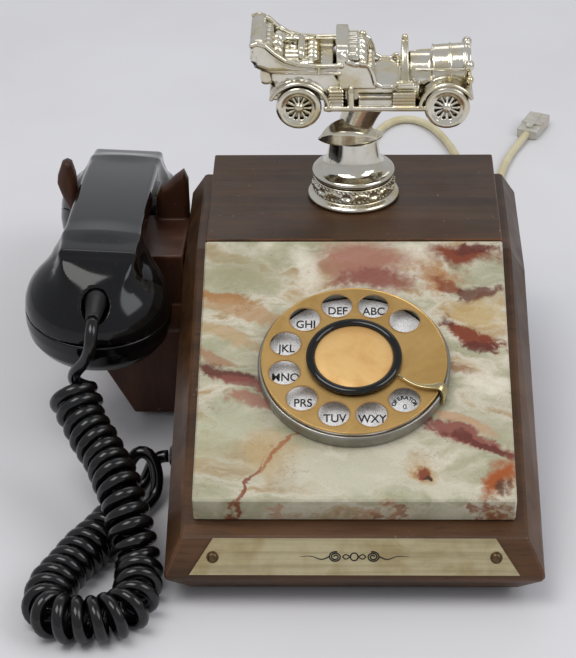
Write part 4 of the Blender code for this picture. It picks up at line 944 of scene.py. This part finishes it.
def handset_field(x, y, z):
    """Handle with an arched back that ends in a ridge at each end, grown together with two bells."""
    half = HANDSET_CENTRES / 2
    past = np.abs(y - half) - half
    top = 27.2 + 4.0 * (1 - ((y - half) / (half + 10.7)) ** 2)
    depth = top - z
    width = (16.4 + 0.1 * np.clip(depth, 0, 8) - 0.40 * np.maximum(depth - 8, 0)
             - 0.42 * np.maximum(0, past - 10.7))
    facet = 0.66 * (past - 10.7) + 0.75 * (z - 27.2)
    whole = smax(smax(-depth, np.abs(x) - width, 2.2), facet, 1.0)
    whole = smax(smax(whole, depth - 17.0, 5.0), past - 20.0, 7.0)
    inverse = HANDSET_AT.inverted()
    seams = []
    for at in (TRANSMITTER_AT, RECEIVER_AT):
        a, b, c = in_frame(x, y, z, inverse @ at)
        out = np.hypot(a, b)
        fillet = 3.0 + 8.0 * np.clip((4.0 - past) / 14.0, 0, 1) + 5.0 * np.clip((past - 9.0) / 6.0, 0, 1)
        whole = smin(whole, polygon(out, c, BELL_SHAPE), fillet)
        seams.append(np.minimum(0.15 - c, 36 - out))
    for seam in seams:
        whole = np.maximum(whole, seam)
    a, b, c = in_frame(x, y, z, inverse @ BOOT_AT)
    return minus(whole, np.maximum(np.hypot(a, b) - 5.6, -3.0 - c), 1.0)


CAP_PROFILE = rounded([(0, -15.6), (13, -16.3), (19.0, -17.0), (27.3, -15.4), (30.3, -11.0), (31.5, -5.0),
                       (31.5, -0.25), (30.6, -0.05), (29.0, -0.05)], 1.1, 3)
CAP_PROFILE += [(28.5, -6.0), (24.5, -13.2), (0, -13.2)]
CAP_HOLES = 7


def cap_field(x, y, z):
    """A cap with one hole in its middle and the others round it."""
    whole = polygon(np.hypot(x, y), z, CAP_PROFILE)
    for i in range(CAP_HOLES):
        reach = 8.0 if i else 0.0
        a = 2 * math.pi * i / (CAP_HOLES - 1)
        whole = minus(whole, np.hypot(x - reach * math.cos(a), y - reach * math.sin(a)) - 1.5, 0.6)
    return whole


def make_handset():
    mesh = skin("handset_body", handset_field, (-34.5, -34.5, -8), (34.5, HANDSET_CENTRES + 34.5, 34), 0.9)
    piece("handset_body", mesh, black_handset, "handset", HANDSET_AT, ["handset_shell"],
          sharp=50)
    for name, at in (("transmitter", TRANSMITTER_AT), ("receiver", RECEIVER_AT)):
        mesh = skin(f"{name}_cover", cap_field, (-32.5, -32.5, -18), (32.5, 32.5, 0.9), 0.65)
        piece(f"{name}_cover", mesh, black_handset, "handset", at, [f"{name}_cap"], sharp=55)
    boot = rounded([(0, -6.0), (3.0, -6.0), (3.0, 0.0), (5.1, 0.6), (5.1, 3.6), (4.5, 6.0), (3.7, 11.5),
                    (3.15, 17.6), (2.75, 19.0), (0, 19.0)], 0.6, 4)
    piece("cord_boot", turned(boot, 48), boot_black, "handset", BOOT_AT, ["handset_cord_boot"])


make_handset()


# ------------------------------------------------------------------------------ dial
DIAL_LETTERS = ("", "ABC", "DEF", "GHI", "JKL", "MNO", "PRS", "TUV", "WXY")


def add_letters(bm, text, spot, size, angle=0.0, bold=0.02, squeeze=1.0):
    curve = bpy.data.curves.new("letters", "FONT")
    curve.body, curve.size, curve.extrude, curve.offset = text, size, 0.04, bold * size
    curve.align_x, curve.align_y = "CENTER", "CENTER"
    drawn = bpy.data.objects.new("letters", curve)
    bpy.context.scene.collection.objects.link(drawn)
    bpy.context.view_layer.update()
    mesh = bpy.data.meshes.new_from_object(drawn.evaluated_get(bpy.context.evaluated_depsgraph_get()))
    mesh.transform(Matrix.Translation(spot) @ Matrix.Rotation(angle, 4, "Z")
                   @ Matrix.Diagonal((squeeze, 1, 1, 1)))
    bm.from_mesh(mesh)
    bpy.data.objects.remove(drawn)
    bpy.data.meshes.remove(mesh)
    bpy.data.curves.remove(curve)


FIRST_HOLE, HOLE_STEP, HOLES, HOLE_REACH = 44, 30, 10, 29.0


def hole_spots():
    return [(HOLE_REACH * math.cos(a), HOLE_REACH * math.sin(a)) for a in
            (math.radians(FIRST_HOLE + HOLE_STEP * i) for i in range(HOLES))]


def make_dial_face():
    """Cup, number disc and its lettering."""
    cup = rounded([(4.5, 0.3), (38.6, 0.3), (39.2, 1.0), (39.2, 5.6), (38.7, 6.2), (37.5, 6.2), (37.1, 5.6),
                   (37.0, 1.6), (4.5, 1.5)], 0.3, 2)
    piece("cup_shell", turned(cup, 128), dial_silver, "base", DIAL_AT, ["dial_cup"])
    disc = rounded([(4.5, 1.8), (36.4, 1.8), (36.7, 2.2), (36.4, 2.6), (4.5, 2.6)], 0.15, 2)
    piece("number_disc", turned(disc, 96), dial_white, "base", DIAL_AT, ["number_plate"])
    bm = bmesh.new()
    for text, (x, y) in zip(DIAL_LETTERS, hole_spots()):
        if text:
            add_letters(bm, text, (x + 0.3, y + 1.5, 2.63), 5.6, bold=0.013, squeeze=0.86)
    x, y = hole_spots()[9]
    # OPERATOR stands in an arc over the zero
    for i, letter in enumerate("OPERATOR"):
        a = math.radians(90 + 74 - i * 148 / 7)
        add_letters(bm, letter, (x + 0.2 + 4.4 * math.cos(a), y + 0.6 + 4.4 * math.sin(a), 2.63), 2.5,
                    a - math.pi / 2, 0.03)
    add_letters(bm, "0", (x + 0.2, y + 0.4, 2.63), 3.4, bold=0.0)
    piece("dial_letters", bm, ink, "base", DIAL_AT, sharp=None)


def make_finger_wheel():
    """Thin plate with ten holes, each with a rolled rim, and the black ring and card in its middle."""
    bm = bmesh.new()
    edges = []
    loops = [(0, 0, 37.6, 160)] + [(x, y, 6.5, 48) for x, y in hole_spots()]
    for cx, cy, r, steps in loops:
        ring = [bm.verts.new((*spot, 8.0)) for spot in oval((cx, cy), (r, r), steps)]
        edges += [bm.edges.new((ring[i], ring[(i + 1) % steps])) for i in range(steps)]
    made = bmesh.ops.triangle_fill(bm, use_beauty=True, edges=edges)["geom"]
    faces = [g for g in made if isinstance(g, bmesh.types.BMFace)]
    grown = bmesh.ops.extrude_face_region(bm, geom=faces)["geom"]
    bmesh.ops.translate(bm, verts=[g for g in grown if isinstance(g, bmesh.types.BMVert)], vec=(0, 0, -0.9))
    add_turned(bm, rounded([(37.3, 7.1), (37.9, 7.3), (38.0, 7.7), (37.6, 8.15), (37.2, 8.0)], 0.2, 3), 160)
    piece("wheel_plate", bm, gold, "dial_wheel", DIAL_AT, ["finger_wheel"], sharp=40)
    bm = bmesh.new()
    rim = oval((6.48, 7.9), (0.30, 0.34), 10)
    for x, y in hole_spots():
        add_turned(bm, rim, 40, Matrix.Translation((x, y, 0)))
    piece("hole_rims", bm, gold_rim, "dial_wheel", DIAL_AT)
    ring = oval((17.75, 9.6), (1.75, 1.4), 20)
    piece("black_ring", turned(ring, 120), black_ring, "dial_wheel", DIAL_AT, ["wheel_ring"])
    card = [(0, 9.0), (15.7, 9.0), (15.9, 9.5), (15.0, 9.85), (12.0, 10.1), (8.0, 10.25), (4.0, 10.32),
            (0, 10.35)]
    piece("card_cover", turned(card, 96), card_gold, "dial_wheel", DIAL_AT, ["centre_card"])


def make_finger_stop():
    """Bent blade: over the wheel's face, down over the rim and flared against the cup."""
    # along the blade: distance from the dial's middle, angle, width, height
    line = [(20.0, -28.0, 0.9, 9.3), (24.0, -30.0, 1.1, 9.4), (28.4, -30.4, 1.4, 9.5),
            (32.0, -28.8, 1.7, 9.5), (35.0, -26.0, 2.3, 9.5), (37.3, -23.8, 3.3, 9.4),
            (38.9, -23.2, 4.2, 8.6), (39.75, -23.8, 4.6, 6.8), (39.9, -24.6, 4.2, 4.2),
            (40.0, -25.4, 3.4, 1.4)]
    count = 60
    rows = np.array([[np.interp(t, range(len(line)), column) for column in zip(*line)]
                     for t in np.linspace(0, len(line) - 1, count)])
    for _ in range(12):
        rows[1:-1] = softened(rows)
    radius, angle, width, height = rows[:, 0], np.radians(rows[:, 1]), rows[:, 2], rows[:, 3]
    spots = np.stack([radius * np.cos(angle), radius * np.sin(angle), height], 1)
    ahead = np.gradient(spots, axis=0)
    ahead /= np.linalg.norm(ahead, axis=1)[:, None]
    tip_angle = math.radians(-24)
    flat = np.array([-math.sin(tip_angle), math.cos(tip_angle), 0])
    across = flat - ahead * (ahead @ flat)[:, None]
    across /= np.linalg.norm(across, axis=1)[:, None]
    normal = np.cross(ahead, across)
    section = [(-0.5, -0.35), (-0.5, 0.35), (-0.42, 0.45), (0.42, 0.45), (0.5, 0.35), (0.5, -0.35),
               (0.42, -0.45), (-0.42, -0.45)]
    bm = bmesh.new()
    rings = [[bm.verts.new(spot + a * (u * w) + n * v) for u, v in section]
             for spot, a, n, w in zip(spots, across, normal, width)]
    bridge(bm, rings)
    bm.faces.new(rings[0])
    bm.faces.new(rings[-1])
    piece("stop_blade", bm, stop_brass, "base", DIAL_AT, ["finger_stop"], sharp=50)


make_dial_face()
make_finger_wheel()
make_finger_stop()


# ---------------------------------------------------------------------------- trophy
def make_cast_band():
    """Round band with a running relief of leaves and blooms."""
    profile = [(2.3, 0.3), (19.6, 0.3), (20.2, 0.9), (20.3, 1.5), (19.9, 2.2), (18.9, 2.7), (18.0, 3.2)]
    relief = [(17.7, h / 10) for h in range(34, 98, 2)]
    profile += relief + [(17.6, 9.9), (17.2, 10.2), (15.0, 10.3), (2.3, 10.3)]
    steps = 300
    verts, faces = [], []
    for radius, height in profile:
        for i in range(steps):
            a = 2 * math.pi * i / steps
            r = radius
            if 3.3 < height < 9.8 and radius > 17.65:
                across = (height - 6.6) / 3.2
                stem = math.cos(9 * a) * 0.42
                leaf = math.exp(-((across - stem) * 4.0) ** 2)
                bud = abs(math.sin(9 * a)) ** 4 * math.exp(-((across + stem) * 2.6) ** 2)
                frill = 0.8 * abs(math.cos(27 * a + 3 * across)) ** 3
                bloom = max(bud, frill * math.exp(-((abs(across) - 0.7) * 5) ** 2))
                vein = 0.5 + 0.5 * math.sin(46 * a + 5 * across)
                r += (1.15 * max(leaf, bloom) * (0.6 + 0.4 * vein) - 0.2) * min(1, 4 * (1 - abs(across)))
            verts.append((r * math.cos(a), r * math.sin(a), height))
    for ring in range(len(profile)):
        after = (ring + 1) % len(profile)
        for i in range(steps):
            j = (i + 1) % steps
            faces.append((ring * steps + i, ring * steps + j, after * steps + j, after * steps + i))
    piece("cast_band", mesh_of("cast_band", verts, faces), silver, "base", RISER_AT, ["riser_band"],
          sharp=60)


def make_bell():
    """Bell between the band and the leaf, as a profile of radius and height."""
    bell = smooth_route([(17.5, 10.8, 0), (18.1, 11.6, 0), (18.1, 12.6, 0), (17.4, 13.4, 0), (15.8, 14.1, 0),
                         (13.9, 15.2, 0), (12.5, 17.0, 0), (11.7, 19.4, 0), (11.2, 22.4, 0), (10.9, 25.4, 0),
                         (10.7, 28.4, 0)], 0.4)
    shape = [(2.3, 10.6), (17.0, 10.6)] + [(float(r), float(h)) for r, h, _ in bell] + [(2.3, 28.5)]
    piece("bell_shell", turned(shape, 128), silver_plain, "base", RISER_AT, ["riser_bell"])


def leaf(x, y, z):
    """Pillow with two pointed ends and a raised fold, its lower lip turned out."""
    u, v = x * 0.985 + y * 0.17, y * 0.985 - x * 0.17
    middle = 1.1
    lens = smax(np.hypot(u + middle, v - 7.0) - 16.4, np.hypot(u + middle, v + 7.0) - 16.4, 0.8)
    crown = 28.9 + 9.0 * np.clip(1 - ((u + 2.5) / 12.5) ** 2 - ((v + 2.5) / 9.5) ** 2, 0, 1) ** 0.75
    fold = 0.9 * np.exp(-((v + 3.0 + 0.10 * u) / 1.6) ** 2)
    top = z - (crown + fold)
    lip = 28.4 - 0.6 * np.clip(np.abs(u) / 12, 0, 1) - z
    return smax(smax(lens * 0.8, top * 0.75, 0.6), lip, 0.5)


def make_leaf():
    mesh = skin("folded_leaf", leaf, (-15.5, -11.5, 26.8), (13.5, 11.5, 40.5), 0.32)
    piece("folded_leaf", mesh, silver, "base", RISER_AT, ["leaf_collar"], sharp=50)


make_cast_band()
make_bell()
make_leaf()


# ------------------------------------------------------------------------------- car
AXLE_Z = 139.7
WHEELS_X = (-23.4, 39.8)
BONNET_BANDS = (33.9, 41.2, 47.6)
FLUTE_STEP = 4.4
STEM_FOOT = 121.3


def car_wheel(x, y, z):
    """Tyre, rim, twelve flat spokes, hub and a solid back, on both sides.
    y is the distance from the car's middle."""
    r = np.hypot(x, z)
    tyre = np.hypot(r - 8.05, y - 15.9) - 1.75
    rim = np.hypot(r - 6.25, y - 16.2) - 0.75
    step = math.pi / 6
    turned_by = (np.arctan2(z, x) + step / 2) % step - step / 2
    across = np.abs(r * np.sin(turned_by)) - (0.32 + 0.05 * r)
    spokes = smax(np.maximum(across, np.abs(y - 16.0) - 0.55), r - 6.6, 0.3)
    hub = smin(ball(r, y, 0 * r, (0, 16.6, 0), (2.0, 1.3, 2.0)),
               ball(r, y, 0 * r, (0, 17.0, 0), (1.0, 0.7, 1.0)), 0.3)
    back = np.maximum(r - 7.6, np.abs(y - 14.3) - 0.7)
    return union(0.35, tyre, rim, spokes, hub, back)


def fender(x, y, z, centre, low, high, reach, tail):
    """Arched strip over a wheel, with a bead along its outer edge. tail flares it away from the wheel."""
    angle = np.arctan2(z - AXLE_Z, x - centre)
    angle = np.where(angle < -1.9, angle + 2 * math.pi, angle)
    r = np.hypot(x - centre, z - AXLE_Z) - (reach + tail * np.clip(np.abs(angle - math.pi / 2) - 0.6, 0, 2))
    limit = np.maximum(low - angle, angle - high) * reach
    strip = smax(smax(np.abs(r) - 0.75, np.maximum(10.3 - y, y - 17.0), 0.5), limit, 0.6)
    bead = smax(np.hypot(r + 0.1, y - 16.9) - 0.75, limit, 0.5)
    apron = smax(smax(np.abs(r + 0.9) - 1.4, np.abs(y - 10.9) - 0.8, 0.4), limit, 0.5)
    return union(0.4, strip, bead, apron)


def flutes(near):
    """Tufting across the seats."""
    return 0.35 * np.cos(near * 2 * math.pi / FLUTE_STEP)


# Each part of the car takes at: x, the distance from the car's middle, and z.
def car_frame(at):
    """Frame, running boards and the beads along them."""
    return union(0.8,
                 block(*at, (-36, -10, 140), (47, 10, 144.5), 1.0),
                 block(*at, (-12.5, 6, 138.3), (30.5, 17.3, 140.5), 0.5),
                 cable(*at, [(-12.0, 17.1, 139.4), (30.0, 17.1, 139.4)], 0.85))


def board_boxes(at):
    """Boxes, a lidded can and a long case that stand on the running boards."""
    grooves = 0.22 * np.cos(at[2] * 2 * math.pi / 1.5)
    return union(0.4,
                 block(*at, (16.6, 11, 140), (26.4, 17.0, 146.6), 0.6) + 0.5 * grooves,
                 block(*at, (-10.6, 11, 140), (-4.2, 16.6, 148.2), 0.8) - grooves,
                 cable(*at, [(-1.2, 15.9, 141.0), (-1.2, 15.9, 146.6)], 1.5),
                 ball(*at, (-1.2, 15.9, 148.0), (1.1, 1.1, 1.5)),
                 block(*at, (2.0, 11, 140), (16.6, 16.2, 143.6), 0.9),
                 cable(*at, [(2.4, 16.2, 144.6), (15.6, 16.2, 144.6)], 0.6))


def rear_tub(at):
    """Rear body: outer skin, hollow inside, beaded rim and the folded hood behind it."""
    x, near, z = at
    tub = [(-43.9, 168.0), (-43.6, 161.5), (-42.2, 157.3), (-36, 155.0), (-5.0, 154.4), (-5.0, 159.0),
           (-18, 158.9), (-25.0, 160.2), (-31.0, 163.5), (-35.5, 168.5), (-38.5, 170.0), (-42.0, 169.8)]
    shell = extruded(polygon(x, z, tub), near, -16.3, 16.3, 3.6)
    room = [(-38.6, 172), (-37.4, 160.0), (-35.0, 150.2), (-6.8, 150.2), (-6.8, 172)]
    shell = smax(shell, -extruded(polygon(x, z, room), near, -13.6, 13.6, 1.0), 0.8)
    rim = [(-43.2, 168.3), (-40.8, 169.2), (-37.2, 168.0), (-33.4, 164.4), (-29.0, 161.2), (-23.0, 159.3),
           (-16.0, 158.7), (-5.2, 158.9)]
    bead = cable(*at, [(a, 15.6, b) for a, b in rim], 0.95)
    under = cable(*at, [(-40.0, 14.2, 157.4), (-35, 15.2, 156.2), (-6, 15.8, 155.2)], 0.6)
    roll = smax(np.hypot(x + 40.4, z - 166.7) - 3.2, near - 16.3, 2.0)
    roll = smin(roll, smax(np.hypot(x + 41.6, z - 161.6) - 2.2, near - 15.8, 2.0), 2.0)
    latch = block(*at, (-15.2, 15.0, 154.8), (-14.4, 16.9, 158.6), 0.2)
    return union(0.5, shell, bead, under, roll, latch)


def rear_seat(at):
    """Tufted back, side rolls, a deep cushion and the jump seat's back."""
    x, near, z = at
    back = block(*at, (-39.5, -13.4, 149), (-34.6, 13.4, 166.4), 1.8) - flutes(near)
    side = block(*at, (-35, 10.9, 150), (-17, 14.2, 160.4), 1.5) - 0.35 * np.cos(x * 2 * math.pi / 4.2)
    cushion = block(*at, (-35.5, -13.0, 147), (-19.5, 13.0, 156.2), 2.6) + 0.25 * np.cos(near * 1.4)
    jump = smax(smax(near - 10.0, z - 163.2, 5.0), np.abs(x + 21.0 + 0.1 * (z - 150)) - 1.5, 1.2)
    jump = smax(jump, 148 - z, 0.5)
    puffs = union(0.8, *[ball(*at, (-32.6 + 0.1 * i, 2.9 + 4.3 * i, 160.4 - 1.2 * i), (3.4, 2.5, 5.2))
                         for i in range(3)])
    pads = union(0.8, *[ball(*at, (-17.5, 2.4 + 4.2 * i, 156.5), (3.6, 2.5, 4.6)) for i in range(2)])
    return union(0.7, back, side, cushion, jump, puffs, pads)


def front_seat(at):
    """High shell with rounded shoulders, tufted inside, and arms that sweep down."""
    x, near, z = at
    dome = smax(smax(near - 14.9, z - 166.2, 5.0), 147 - z, 0.5)
    lean = x + 0.06 * (z - 150)
    panel = smax(smax(dome, lean + 1.2, 0.8), -6.6 - lean, 0.8)
    tuft = smax(smax(smax(near - 13.2, z - 164.4, 4.5), 147 - z, 0.5), lean - 3.4 + 0.04 * (z - 150), 1.5)
    tuft = np.maximum(tuft, -2.5 - lean) - 0.9 * flutes(near)
    tuft = union(0.9, tuft, *[ball(*at, (2.4 - 0.15 * i, 2.2 + 4.1 * i, 158.6 - 0.9 * i), (4.2, 2.4, 5.4))
                              for i in range(3)])
    arm_line = [(-4.5, 14.4, 163.0), (-2.6, 14.7, 160.4), (0.5, 14.9, 159.3), (4.4, 14.9, 159.6),
                (6.8, 14.9, 158.0), (8.2, 14.9, 154.6), (9.2, 14.9, 150.6), (12.0, 14.9, 148.8),
                (16.5, 14.9, 148.7), (18.8, 14.9, 150.4)]
    arm = cable(*at, arm_line, 0.95)
    arm_side = [(-6.0, 148.0), (-6.0, 162.6), (-2.4, 160.2), (0.5, 159.2), (4.4, 159.4), (6.8, 157.6),
                (8.0, 154.0), (9.4, 148.0)]
    arm = smin(arm, extruded(polygon(x, z, arm_side), near, 13.75, 15.25, 0.4), 0.5)
    knob = ball(*at, (4.0, 15.2, 159.9), (1.7, 1.5, 1.7))
    seat = block(*at, (-2, -13.0, 147), (9.0, 13.0, 154.2), 2.0) + 0.2 * np.cos(near * 1.4)
    return union(0.5, panel, tuft, arm, knob, seat)


def hood_section(y, z, half, top):
    """Cross-section of the bonnet: a full round that sinks into the frame."""
    return smin(np.hypot(y, (z - (top - half)) * 0.97) - half,
                smax(smax(np.abs(y) - half + 2.2, z - (top - half), 0.5), 143.0 - z, 0.5), 1.5)


def front_end(x, y, z):
    """Dash, rounded bonnet with bands, radiator, lamps and front bar."""
    near = np.abs(y)
    at = (x, near, z)
    arch = (z - 147.0) * 1.12
    gothic = smax(np.hypot(y - 9.0, arch) - 21.5, np.hypot(y + 9.0, arch) - 21.5, 0.8)
    dash = smax(smax(gothic, np.abs(x - 21.9) - 1.5 - 0.05 * np.clip(158 - z, 0, 12), 0.6), 145 - z, 0.4)
    crest = ball(x, y, z, (21.9, 0, 165.0), (1.4, 1.4, 1.6))
    foot = block(*at, (18.4, 9.0, 147.0), (26.0, 14.6, 150.0), 1.0)
    cowl = smax(hood_section(y, z, 9.2, 157.6), np.abs(x - 29.0) - 5.2, 0.8)
    bonnet = smax(hood_section(y, z, 10.2, 160.4 + 0.07 * (x - 34)), np.abs(x - 41.0) - 7.6, 1.6)
    bonnet = smin(bonnet, cowl, 1.6)
    for spot in BONNET_BANDS:
        band = smax(hood_section(y, z, 10.45, 160.7 + 0.07 * (spot - 34)), np.abs(x - spot) - 0.35, 0.2)
        bonnet = smin(bonnet, band, 0.3)
    strip = cable(*at, [(26.5, 9.6, 154.4), (34, 10.4, 154.6), (48, 10.5, 154.8)], 0.55)
    radiator = smax(hood_section(y, z, 10.0, 161.2), np.abs(x - 49.2) - 0.9, 0.4)
    lamps = union(0.4, ball(*at, (49.0, 12.2, 157.2), (2.2, 2.5, 2.5)),
                  ball(*at, (49.4, 12.4, 150.6), (1.7, 1.9, 1.9)),
                  cable(*at, [(49.0, 10.0, 144.0), (49.4, 12.0, 150.0), (49.2, 12.0, 157.0)], 0.7),
                  ball(x, y, z, (48.6, 0.0, 162.4), (1.4, 1.4, 1.2)),
                  cable(*at, [(50.2, 0.0, 142.2), (50.2, 12.5, 142.6), (49.0, 14.0, 144.0)], 1.0))
    return union(0.5, dash, crest, foot, bonnet, strip, radiator, lamps)


SILL = [(-36, 156.5), (-33.5, 148), (-28, 142), (28, 142), (28, 148.6), (-5, 148.6), (-9, 155.5)]


def car_field(x, y, z):
    """Open veteran car as one soft-edged casting, the same on both sides. Millimetres."""
    near = np.abs(y)
    at = (x, near, z)
    car = smin(car_frame(at), board_boxes(at), 0.5)
    car = smin(car, extruded(polygon(x, z, SILL), near, -14.2, 14.2, 0.8), 0.9)
    car = smin(car, rear_tub(at), 0.8)
    car = smin(car, rear_seat(at), 0.6)
    car = smin(car, front_seat(at), 0.5)
    car = smin(car, front_end(x, y, z), 0.6)
    for centre in WHEELS_X:
        car = smin(car, car_wheel(x - centre, near, z - AXLE_Z), 0.4)
        car = smin(car, np.maximum(np.hypot(x - centre, z - AXLE_Z) - 1.6, near - 14.5), 0.6)
    car = smin(car, fender(*at, WHEELS_X[0], -0.12, 2.85, 11.5, 1.5), 0.5)
    car = smin(car, fender(*at, WHEELS_X[1], 0.35, 3.2, 10.7, 0.9), 0.5)
    # stem that leans to the right on its way up, with a hole for the trophy's rod
    lift = np.clip((z - STEM_FOOT) / 18.0, 0, 1)
    middle, wide = 0.4 + 7.6 * lift ** 1.3, 7.6 + 3.6 * lift ** 1.6
    stem = smax(smax(np.hypot(x - middle, y / 0.85) - wide, z - 141.5, 0.5), STEM_FOOT - z, 0.4)
    rod_hole = np.maximum(np.hypot(x, y) - 2.3, z - 134.5)
    return smax(smin(car, stem, 1.6), rod_hole * -1.0, 0.1)


def make_car():
    cell = 0.38
    mesh = skin("veteran_car", car_field, (-46.0, -19.0, 120.5), (52.6, 19.0, 171.5), cell)
    piece("veteran_car", mesh, silver, "base", CAR_AT, ["car_figure"], sharp=60)


make_car()


# --------------------------------------------------------------------- cradle, plate
def make_cradle():
    """Wooden bracket: block that narrows to its foot, sloping floor, low step and two round-topped horns."""
    left_horn = [(-127.6, 52), (-131.2, 64), (-134.7, 73), (-136.3, 78.5), (-135.8, 82.5), (-133.5, 89.0),
                 (-131.1, 90.3), (-128.8, 89.0), (-127.3, 83), (-126.8, 74), (-126.8, 52)]
    right_horn = [(-75.6, 50), (-75.6, 80), (-77.6, 85), (-82, 81.5), (-84.6, 78.8), (-88.7, 75.7),
                  (-90.7, 71.1), (-91.4, 65), (-91.4, 50)]
    slope = math.tan(math.radians(10.3))

    def field(x, y, z):
        side = smax(x + 75.3, (-98.0 - 0.53 * (z - 2.5) - x) * 0.884, 0.8)
        low = 2.5 - z
        floor = z - (60.4 + (201.5 - y) * slope)
        main = smax(smax(smax(side, floor * 0.984, 1.2), smax(150 - y, y - 207.5, 0.8), 0.9), low, 0.5)
        step = smax(smax(smax(side, z - 45, 1.0), smax(127 - y, y - 152, 0.6), 0.9), low, 0.5)
        horns = np.minimum(extruded(polygon(x, z, left_horn) + 0.6, y, 201.0, 207.6, 2.4) - 0.5,
                           extruded(polygon(x, z, right_horn) + 0.6, y, 201.0, 207.6, 2.4) - 0.5)
        block_shape = smin(smin(main, step, 0.6), horns, 1.2)
        hole = np.maximum(np.hypot(x + 108.5, y - 170.0) - 3.4, 50 - z)
        return minus(block_shape, hole, 0.4)

    mesh = skin("cradle_body", field, (-138.5, 125, 1.2), (-74.0, 209, 92), 0.8)
    piece("cradle_body", mesh, wood_cradle, "base", PHONE_AT, ["cradle_block"], sharp=45)


PLATE_LEAN = math.degrees(math.atan2(29.2 - 15.5, -2.7 + 9.5))
PLATE_AT = PHONE_AT @ Matrix.Translation((0, -0.0061, 0.02235)) @ turn(PLATE_LEAN)


def make_plate_pins():
    """Domed pins with a rim, one at each end of the plate."""
    for side, x in (("left", -55.7), ("right", 55.7)):
        dome = rounded([(0, 0.9), (2.3, 0.9), (2.5, 1.3), (2.2, 1.6), (1.9, 1.5), (1.75, 1.9), (1.2, 2.35),
                        (0, 2.5)], 0.2, 2)
        at = PLATE_AT @ Matrix.Translation((x * MM, -0.0002, 0))
        piece(f"pin_head_{side}", turned(dome, 40), pin_steel, "base", at, [f"plate_pin_{side}"])


def make_plate_scroll():
    """Small engraved ornament in the middle of the plate, in place of any words."""
    verts, faces = [], []
    for sign in (-1, 1):
        scroll = []
        for i in range(60):
            t = i / 59
            a = 4.6 * math.pi * (1 - t)
            r = 0.35 + 1.75 * (1 - t) ** 0.8
            scroll.append((sign * (7.4 + r * math.cos(a) * 1.2), r * math.sin(a), 1.10))
        add_tube(verts, faces, np.array(scroll, float), 0.30, 6)
        tail = [(sign * (7.4 + 2.5), 0, 1.1), (sign * 13.0, -1.0, 1.1), (sign * 17.0, 0.2, 1.1),
                (sign * 21.5, 0.0, 1.1)]
        route = smooth_route(tail, 0.5)
        add_tube(verts, faces, route, np.linspace(0.32, 0.08, len(route)), 6)
        bud = smooth_route([(sign * 4.6, 0, 1.1), (sign * 3.4, 0.9, 1.1), (sign * 1.8, 0.0, 1.1),
                            (sign * 3.4, -0.9, 1.1), (sign * 4.6, 0, 1.1)], 0.3)
        add_tube(verts, faces, bud, 0.26, 6)
    ring = np.array([(1.5 * math.cos(a), 1.5 * math.sin(a), 1.1) for a in np.linspace(0, 2 * math.pi, 30)])
    add_tube(verts, faces, ring, 0.30, 6)
    piece("plate_scroll", mesh_of("plate_scroll", verts, faces), ink, "base", PLATE_AT)


make_cradle()
make_plate_pins()
make_plate_scroll()


# ------------------------------------------------------------------- light and floor
def area_light(name, spot, aim, size, power, colour=(1, 1, 1)):
    lamp = bpy.data.lights.new(name, "AREA")
    lamp.shape, lamp.size, lamp.size_y = "RECTANGLE", *size
    lamp.energy, lamp.color = power, colour
    made = bpy.data.objects.new(name, lamp)
    bpy.context.scene.collection.objects.link(made)
    made.location = Vector(spot) + PHONE
    made.rotation_euler = (Vector(aim) - Vector(spot)).to_track_quat("-Z", "Y").to_euler()


FLOOR_SIZE = 3.0
AIM = (0, 0.12, 0.05)


def make_studio():
    bm = bmesh.new()
    bmesh.ops.create_grid(bm, x_segments=2, y_segments=2, size=FLOOR_SIZE)
    mesh = bpy.data.meshes.new("floor")
    bm.to_mesh(mesh)
    bm.free()
    look = Look("floor_look")
    base = look.mix(look.span(look.noise(3.0, 4, 0.6), 0.3, 0.7), "dcdce0", "d4d3d6")
    look.bump(look.noise(400, 4, 0.6), 0.00006, 0.3)
    look.finish(Base_Color=base, Roughness=0.75)
    mesh.materials.append(look.material)
    floor = bpy.data.objects.new("floor", mesh)
    bpy.context.scene.collection.objects.link(floor)
    floor.location = (0, 0, -0.0002)
    area_light("key", (-0.45, -0.30, 1.40), (-0.02, 0.12, 0.05), (0.9, 0.7), 8.5, (1.0, 0.985, 0.96))
    area_light("fill", (0.95, -0.25, 1.05), AIM, (0.8, 0.8), 6.0, (0.96, 0.98, 1.0))
    area_light("back", (0.1, 1.3, 1.2), AIM, (1.2, 0.5), 2.2)
    world = bpy.data.worlds.new("soft_room")
    world.use_nodes = True
    sky = world.node_tree.nodes["Background"]
    sky.inputs["Color"].default_value = (0.86, 0.87, 0.90, 1)
    sky.inputs["Strength"].default_value = 0.56
    bpy.context.scene.world = world
    bpy.context.scene.view_settings.view_transform = "Standard"


make_studio()
